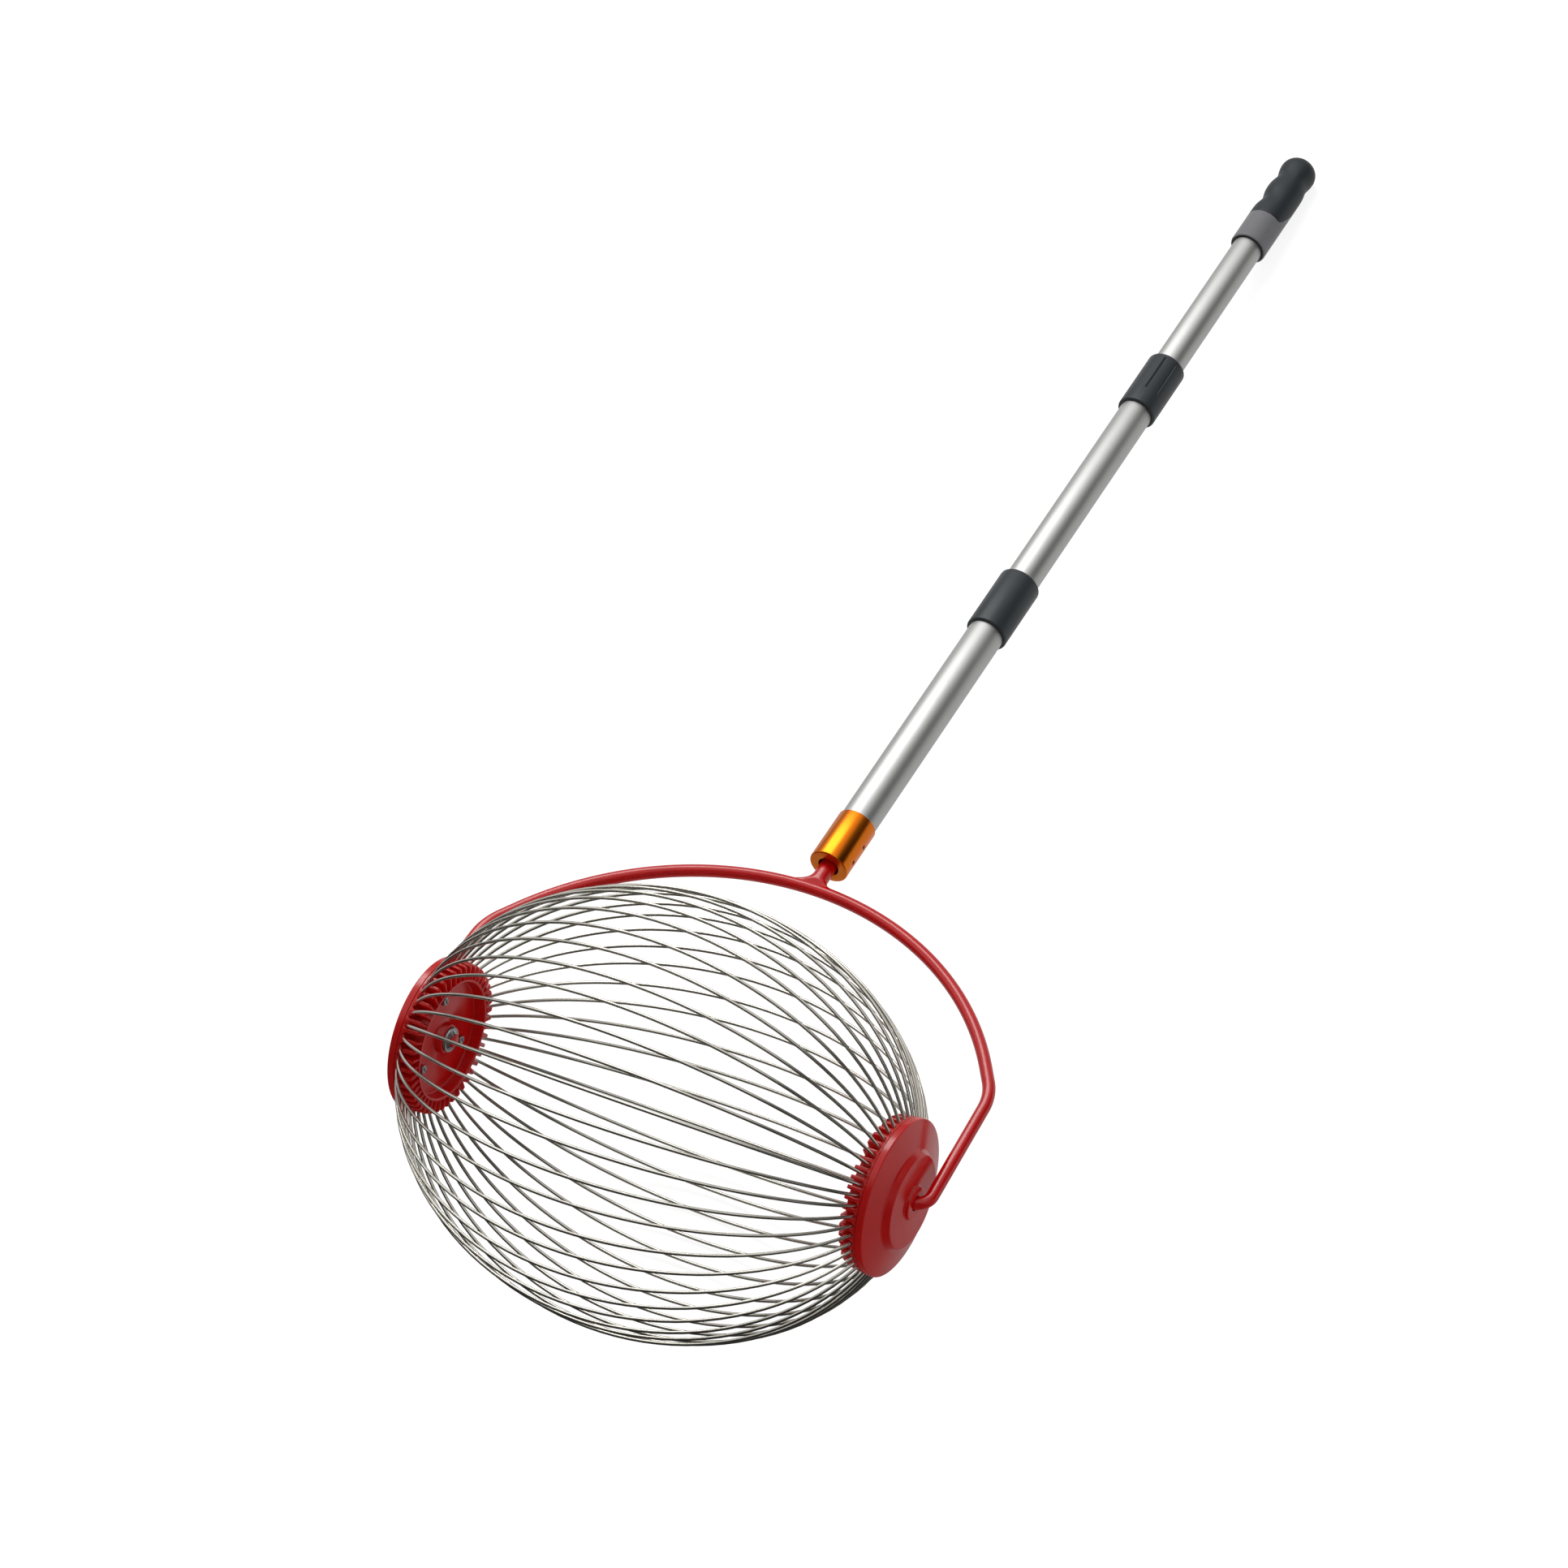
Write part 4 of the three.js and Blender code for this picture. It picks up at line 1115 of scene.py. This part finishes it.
class COLLECTOR_OT_axle_fittings(bpy.types.Operator):
    """Replace the bushes, retainers and screws of the hubs"""

    bl_idname = "collector.axle_fittings"
    bl_label = "Axle fittings"

    def execute(self, context):
        for side, axis in HUB_AXIS.items():
            node = f"{side}_axle_bush"
            seen = span(node, axis)
            edge = 0.4 * MM
            bm = sleeve(seen.inner, seen.outer, seen.start, seen.end, (edge, edge, 0, 0), 64)
            stands_for(bm, node, "pale_nylon", ON_HUB[side])
            node = f"{side}_axle_retainer"
            seen = span(node, axis)
            bm = retainer(seen.end, seen.start, seen.inner, seen.outer)
            stands_for(bm, node, "zinc_steel", ON_HUB[side], 30)
            for number in range(1, 4):
                node = f"{side}_hub_screw_{number}"
                seen = span(node, axis)
                foot = middle(node)
                place = ON_HUB[side].copy()
                place.translation = foot - (foot - AXLE).dot(axis) * axis
                stands_for(pan_head_screw(seen.start, seen.end), node, "zinc_steel", place, 30)
        return {"FINISHED"}


class COLLECTOR_OT_yoke(bpy.types.Operator):
    """Replace the bent rod and its stub with an enamelled weldment"""

    bl_idname = "collector.yoke"
    bl_label = "Yoke"

    def execute(self, context):
        sizes = context.scene.collector_yoke
        radius = sizes.rod_diameter / 2
        foot_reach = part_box("yoke_rod")[1].x - radius
        arch_top = span("yoke_rod", POLE).end - radius
        corners = [vertex.co - AXLE for vertex in frame["nodes"]["yoke_rod"].data.vertices]
        tip = min(corner.x for corner in corners if corner.x > 0 and abs(corner.dot(POLE)) < 1.1 * radius)
        route = yoke_route(sizes, foot_reach, arch_top, tip)
        stands_for(swept(route, radius, 28, sizes.tip_edge), "yoke_rod", "red_enamel")
        bm = stub(sizes, arch_top, span("yoke_stub", POLE).end)
        stands_for(bm, "yoke_stub", "red_enamel", ON_POLE)
        return {"FINISHED"}


class COLLECTOR_OT_ferrule(bpy.types.Operator):
    """Replace the ferrule and its set screws"""

    bl_idname = "collector.ferrule"
    bl_label = "Ferrule"

    def execute(self, context):
        sizes = context.scene.collector_pole
        seen = span("ferrule", POLE)
        hole_gap, overrun = 0.1 * MM, 2 * MM
        holes = []
        for number in (1, 2):
            node = f"clamp_screw_{number}"
            height = (middle(node) - AXLE).dot(POLE)
            low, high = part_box(node)
            place = standing(TOPSIDE, ACROSS, AXLE + height * POLE)
            stands_for(set_screw(sizes, low.x, high.x), node, "zinc_steel", place, 30)
            hole = sleeve(0, sizes.screw_radius + hole_gap, low.x, seen.outer + overrun, (0, 0, 0, 0), 24)
            hole.transform(ON_POLE.inverted() @ place)
            holes.append(hole)
        bm = carved(ferrule(sizes, seen, span("lower_tube", POLE).outer), holes)
        stands_for(bm, "ferrule", "orange_anodised", ON_POLE, 30)
        return {"FINISHED"}


class COLLECTOR_OT_pole_tubes(bpy.types.Operator):
    """Replace the three pole tubes"""

    bl_idname = "collector.pole_tubes"
    bl_label = "Pole tubes"

    def execute(self, context):
        sizes = context.scene.collector_pole
        for node in ("lower_tube", "middle_tube", "upper_tube"):
            seen = span(node, POLE)
            inner = seen.outer - sizes.tube_wall
            bm = sleeve(inner, seen.outer, seen.start, seen.end, (sizes.tube_edge,) * 4, 96, 3)
            stands_for(bm, node, "satin_aluminium", ON_POLE)
        return {"FINISHED"}


class COLLECTOR_OT_twist_locks(bpy.types.Operator):
    """Replace the two twist lock collars"""

    bl_idname = "collector.twist_locks"
    bl_label = "Twist locks"

    def execute(self, context):
        sizes = context.scene.collector_pole
        radii = [span(f"{name}_tube", POLE).outer for name in ("lower", "middle", "upper")]
        lower_bore, middle_bore, upper_bore = [radius + FIT_GAP for radius in radii]
        seen = span("lower_lock_collar", POLE)
        bm = turned(lock_outline(sizes, seen, lower_bore, middle_bore), even_turns(96))
        stands_for(bm, "lower_lock_collar", "slate_plastic", ON_POLE)
        seen = span("upper_lock_collar", POLE)
        bm = grooved_lock(sizes, seen, middle_bore, upper_bore)
        stands_for(bm, "upper_lock_collar", "slate_plastic", ON_POLE, 35)
        return {"FINISHED"}


class COLLECTOR_OT_grip(bpy.types.Operator):
    """Replace the grip ring and the rubber grip"""

    bl_idname = "collector.grip"
    bl_label = "Grip"

    def execute(self, context):
        form = GripForm(context.scene.collector_grip, span("grip_ring", POLE), span("grip", POLE))
        stands_for(grip_ring(form), "grip_ring", "grey_plastic", ON_POLE)
        bore_end = max(span(node, POLE).end for node in ("upper_tube", "grip_end_plug")) + FIT_GAP
        stands_for(grip_rubber(form, bore_end), "grip", "black_rubber", ON_POLE)
        body = frame["nodes"]["grip"]["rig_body"]
        finished(grip_lip(form), "grip_sleeve_lip", "black_rubber", body, (), ON_POLE)
        return {"FINISHED"}


class COLLECTOR_OT_inner_parts(bpy.types.Operator):
    """Give the hidden glides, plugs and collets their finishes"""

    bl_idname = "collector.inner_parts"
    bl_label = "Inner parts"

    finishes = {
        "pole_plug": "black_plastic",
        "middle_glide": "black_plastic",
        "upper_glide": "black_plastic",
        "grip_end_plug": "black_plastic",
        "lower_lock_collet": "pale_nylon",
        "upper_lock_collet": "pale_nylon",
    }

    def execute(self, context):
        for node, slot in self.finishes.items():
            materials = frame["nodes"][node].data.materials
            materials.clear()
            materials.append(finish_of(slot))
        return {"FINISHED"}


class COLLECTOR_OT_stage(bpy.types.Operator):
    """Set up the floor, the lamps, the surroundings and the camera"""

    bl_idname = "collector.stage"
    bl_label = "Stage"

    def execute(self, context):
        settings = context.scene.collector_stage
        scene = context.scene
        scene.view_settings.view_transform = "Standard"
        right, up, back = camera_axes(settings)
        camera = placed("camera", bpy.data.cameras.new("camera"))
        camera.data.lens = settings.lens
        camera.data.clip_end = 20.0
        camera.matrix_world = axes_matrix(right, up, back, Vector(settings.camera_place))
        scene.camera = camera
        side = (back - back.dot(POLE) * POLE).normalized()
        lit = AXLE + 0.15 * POLE
        key_way = round_pole(side, degrees=-52, rise=0.58)
        area_lamp("key_lamp", lit, key_way, settings.key_power, far=2.0, size=(1.6, 0.7))
        fill_way = ACROSS + 0.5 * back
        area_lamp("fill_lamp", AXLE, fill_way, settings.fill_power, far=2.4, size=(1.6, 1.6))
        scene.world = surroundings(settings, side)
        floor(settings)
        return {"FINISHED"}


def round_pole(side, degrees, rise):
    """A direction at an angle round the pole from a side way, leaning along the pole by a rise."""
    turn = math.radians(degrees)
    return (math.cos(turn) * side + math.sin(turn) * POLE.cross(side) + rise * POLE).normalized()


def camera_axes(settings):
    """The picture's right and up, and the way back from the scene to the camera."""
    azimuth, elevation, roll = settings.camera_azimuth, settings.camera_elevation, settings.camera_roll
    level = Vector((math.cos(azimuth), math.sin(azimuth), 0))
    ahead = Vector((-math.sin(azimuth), math.cos(azimuth), 0))
    back = Vector((0, 0, math.sin(elevation))) - math.cos(elevation) * ahead
    right = math.cos(roll) * level + math.sin(roll) * back.cross(level)
    return right, back.cross(right), back


def axes_matrix(right, up, back, place):
    matrix = Matrix((right, up, back)).transposed().to_4x4()
    matrix.translation = place
    return matrix


def area_lamp(name, target, way, power, far, size):
    """A soft lamp that stands away from a target and faces it, its long side across the pole."""
    way = way.normalized()
    across = POLE.cross(way).normalized()
    lamp = placed(name, bpy.data.lights.new(name, "AREA"))
    lamp.data.shape = "RECTANGLE"
    lamp.data.size, lamp.data.size_y = size
    lamp.data.energy = power
    lamp.matrix_world = axes_matrix(across, way.cross(across), way, target + far * way)


def surroundings(settings, side):
    """White for the camera, an even sky for the light, and a white room with dark cards for gloss."""
    world = bpy.data.worlds.new("studio")
    finish = Finish(world)
    way = finish.node("ShaderNodeTexCoord", output="Generated")

    def card(direction, inner, outer):
        """1 inside a round soft-edged card round a direction, and 0 outside it."""
        facing = finish.along(way, direction.normalized())
        return finish.smooth(facing, math.cos(math.radians(outer)), math.cos(math.radians(inner)))

    # The way to each dark card, its inner and outer angle, and how much it darkens
    dark_cards = (
        (round_pole(side, degrees=40, rise=0.68), 16, 42, 0.86),
        (Vector((0, -1, 0)), 60, 84, 0.95),
        (Vector((0.93, 0.06, 0.36)), 24, 38, 0.93),
    )
    room = settings.room_level * (0.25 + 0.75 * card(Vector((0, 0, 1)), 58, 90))
    for direction, inner, outer, strength in dark_cards:
        room = room * (1 - strength * card(direction, inner, outer))
    camera_ray, glossy_ray = finish.ray("Camera"), finish.ray("Glossy")
    gloss = glossy_ray * room + (1 - glossy_ray) * settings.sky_level
    level = camera_ray + (1 - camera_ray) * gloss
    light = finish.node("ShaderNodeBackground", {}, {"Color": (1, 1, 1), "Strength": level})
    finish.end("ShaderNodeOutputWorld", light)
    return world


def floor(settings):
    """A wide pale floor that keeps the shadow and stays near white where nothing shades it."""
    half, steps = 6.0, 12
    places = [half * (2 * i / steps - 1) for i in range(steps + 1)]
    bm = bmesh.new()
    rows = [[bm.verts.new((x, y, 0.0)) for x in places] for y in places]
    skin(bm, rows, round_it=False)
    mesh = bpy.data.meshes.new("floor")
    bm.to_mesh(mesh)
    bm.free()
    mesh.materials.append(floor_finish(settings))
    piece = placed("floor", mesh)


def floor_finish(settings):
    """Matt, with its own light for the camera, and for gloss a brightness that falls off in front."""
    material = bpy.data.materials.new("pale_floor")
    finish = Finish(material)
    matt = finish.node("ShaderNodeBsdfDiffuse", {}, {"Color": tuple(settings.floor_colour)})
    camera_ray, glossy_ray = finish.ray("Camera"), finish.ray("Glossy")
    depth = finish.along(finish.place(), (0, 1, 0))
    far = finish.smooth(depth, -0.55, -0.1, least=0.02)
    level = settings.floor_glow * camera_ray + settings.floor_gloss * glossy_ray * far
    white = finish.node("ShaderNodeEmission", {}, {"Color": (1, 1, 1), "Strength": level})
    share = 0.5 * camera_ray + 0.97 * glossy_ray
    mix = finish.node("ShaderNodeMixShader", {}, {0: share, 1: matt, 2: white})
    finish.end("ShaderNodeOutputMaterial", mix)
    return material


GROUPS = {
    "collector_cage": CollectorCageSizes,
    "collector_hub": CollectorHubSizes,
    "collector_yoke": CollectorYokeSizes,
    "collector_pole": CollectorPoleSizes,
    "collector_grip": CollectorGripSizes,
    "collector_colours": CollectorColours,
    "collector_stage": CollectorStageSettings,
}

STEPS = (
    COLLECTOR_OT_stage,
    COLLECTOR_OT_cage_wires,
    COLLECTOR_OT_hubs,
    COLLECTOR_OT_axle_fittings,
    COLLECTOR_OT_yoke,
    COLLECTOR_OT_ferrule,
    COLLECTOR_OT_pole_tubes,
    COLLECTOR_OT_twist_locks,
    COLLECTOR_OT_grip,
    COLLECTOR_OT_inner_parts,
)


class COLLECTOR_PT_panel(bpy.types.Panel):
    """Lists the collector's steps in the 3D view's sidebar"""

    bl_idname = "COLLECTOR_PT_panel"
    bl_label = "Ball Collector"
    bl_space_type = "VIEW_3D"
    bl_region_type = "UI"
    bl_category = "Collector"

    def draw(self, context):
        for step in STEPS:
            self.layout.operator(step.bl_idname)
        for group, cls in GROUPS.items():
            box = self.layout.box()
            box.label(text=cls.__doc__.rstrip("."))
            for name in cls.__annotations__:
                box.prop(getattr(context.scene, group), name)


CLASSES = (*GROUPS.values(), *STEPS, COLLECTOR_PT_panel)


def register():
    for cls in CLASSES:
        bpy.utils.register_class(cls)
    for name, cls in GROUPS.items():
        setattr(bpy.types.Scene, name, bpy.props.PointerProperty(type=cls))


def unregister():
    for name in GROUPS:
        delattr(bpy.types.Scene, name)
    for cls in reversed(CLASSES):
        bpy.utils.unregister_class(cls)


def main():
    """Runs every step."""
    register()
    for step in STEPS:
        family, name = step.bl_idname.split(".")
        getattr(getattr(bpy.ops, family), name)()


if __name__ == "__main__":
    main()
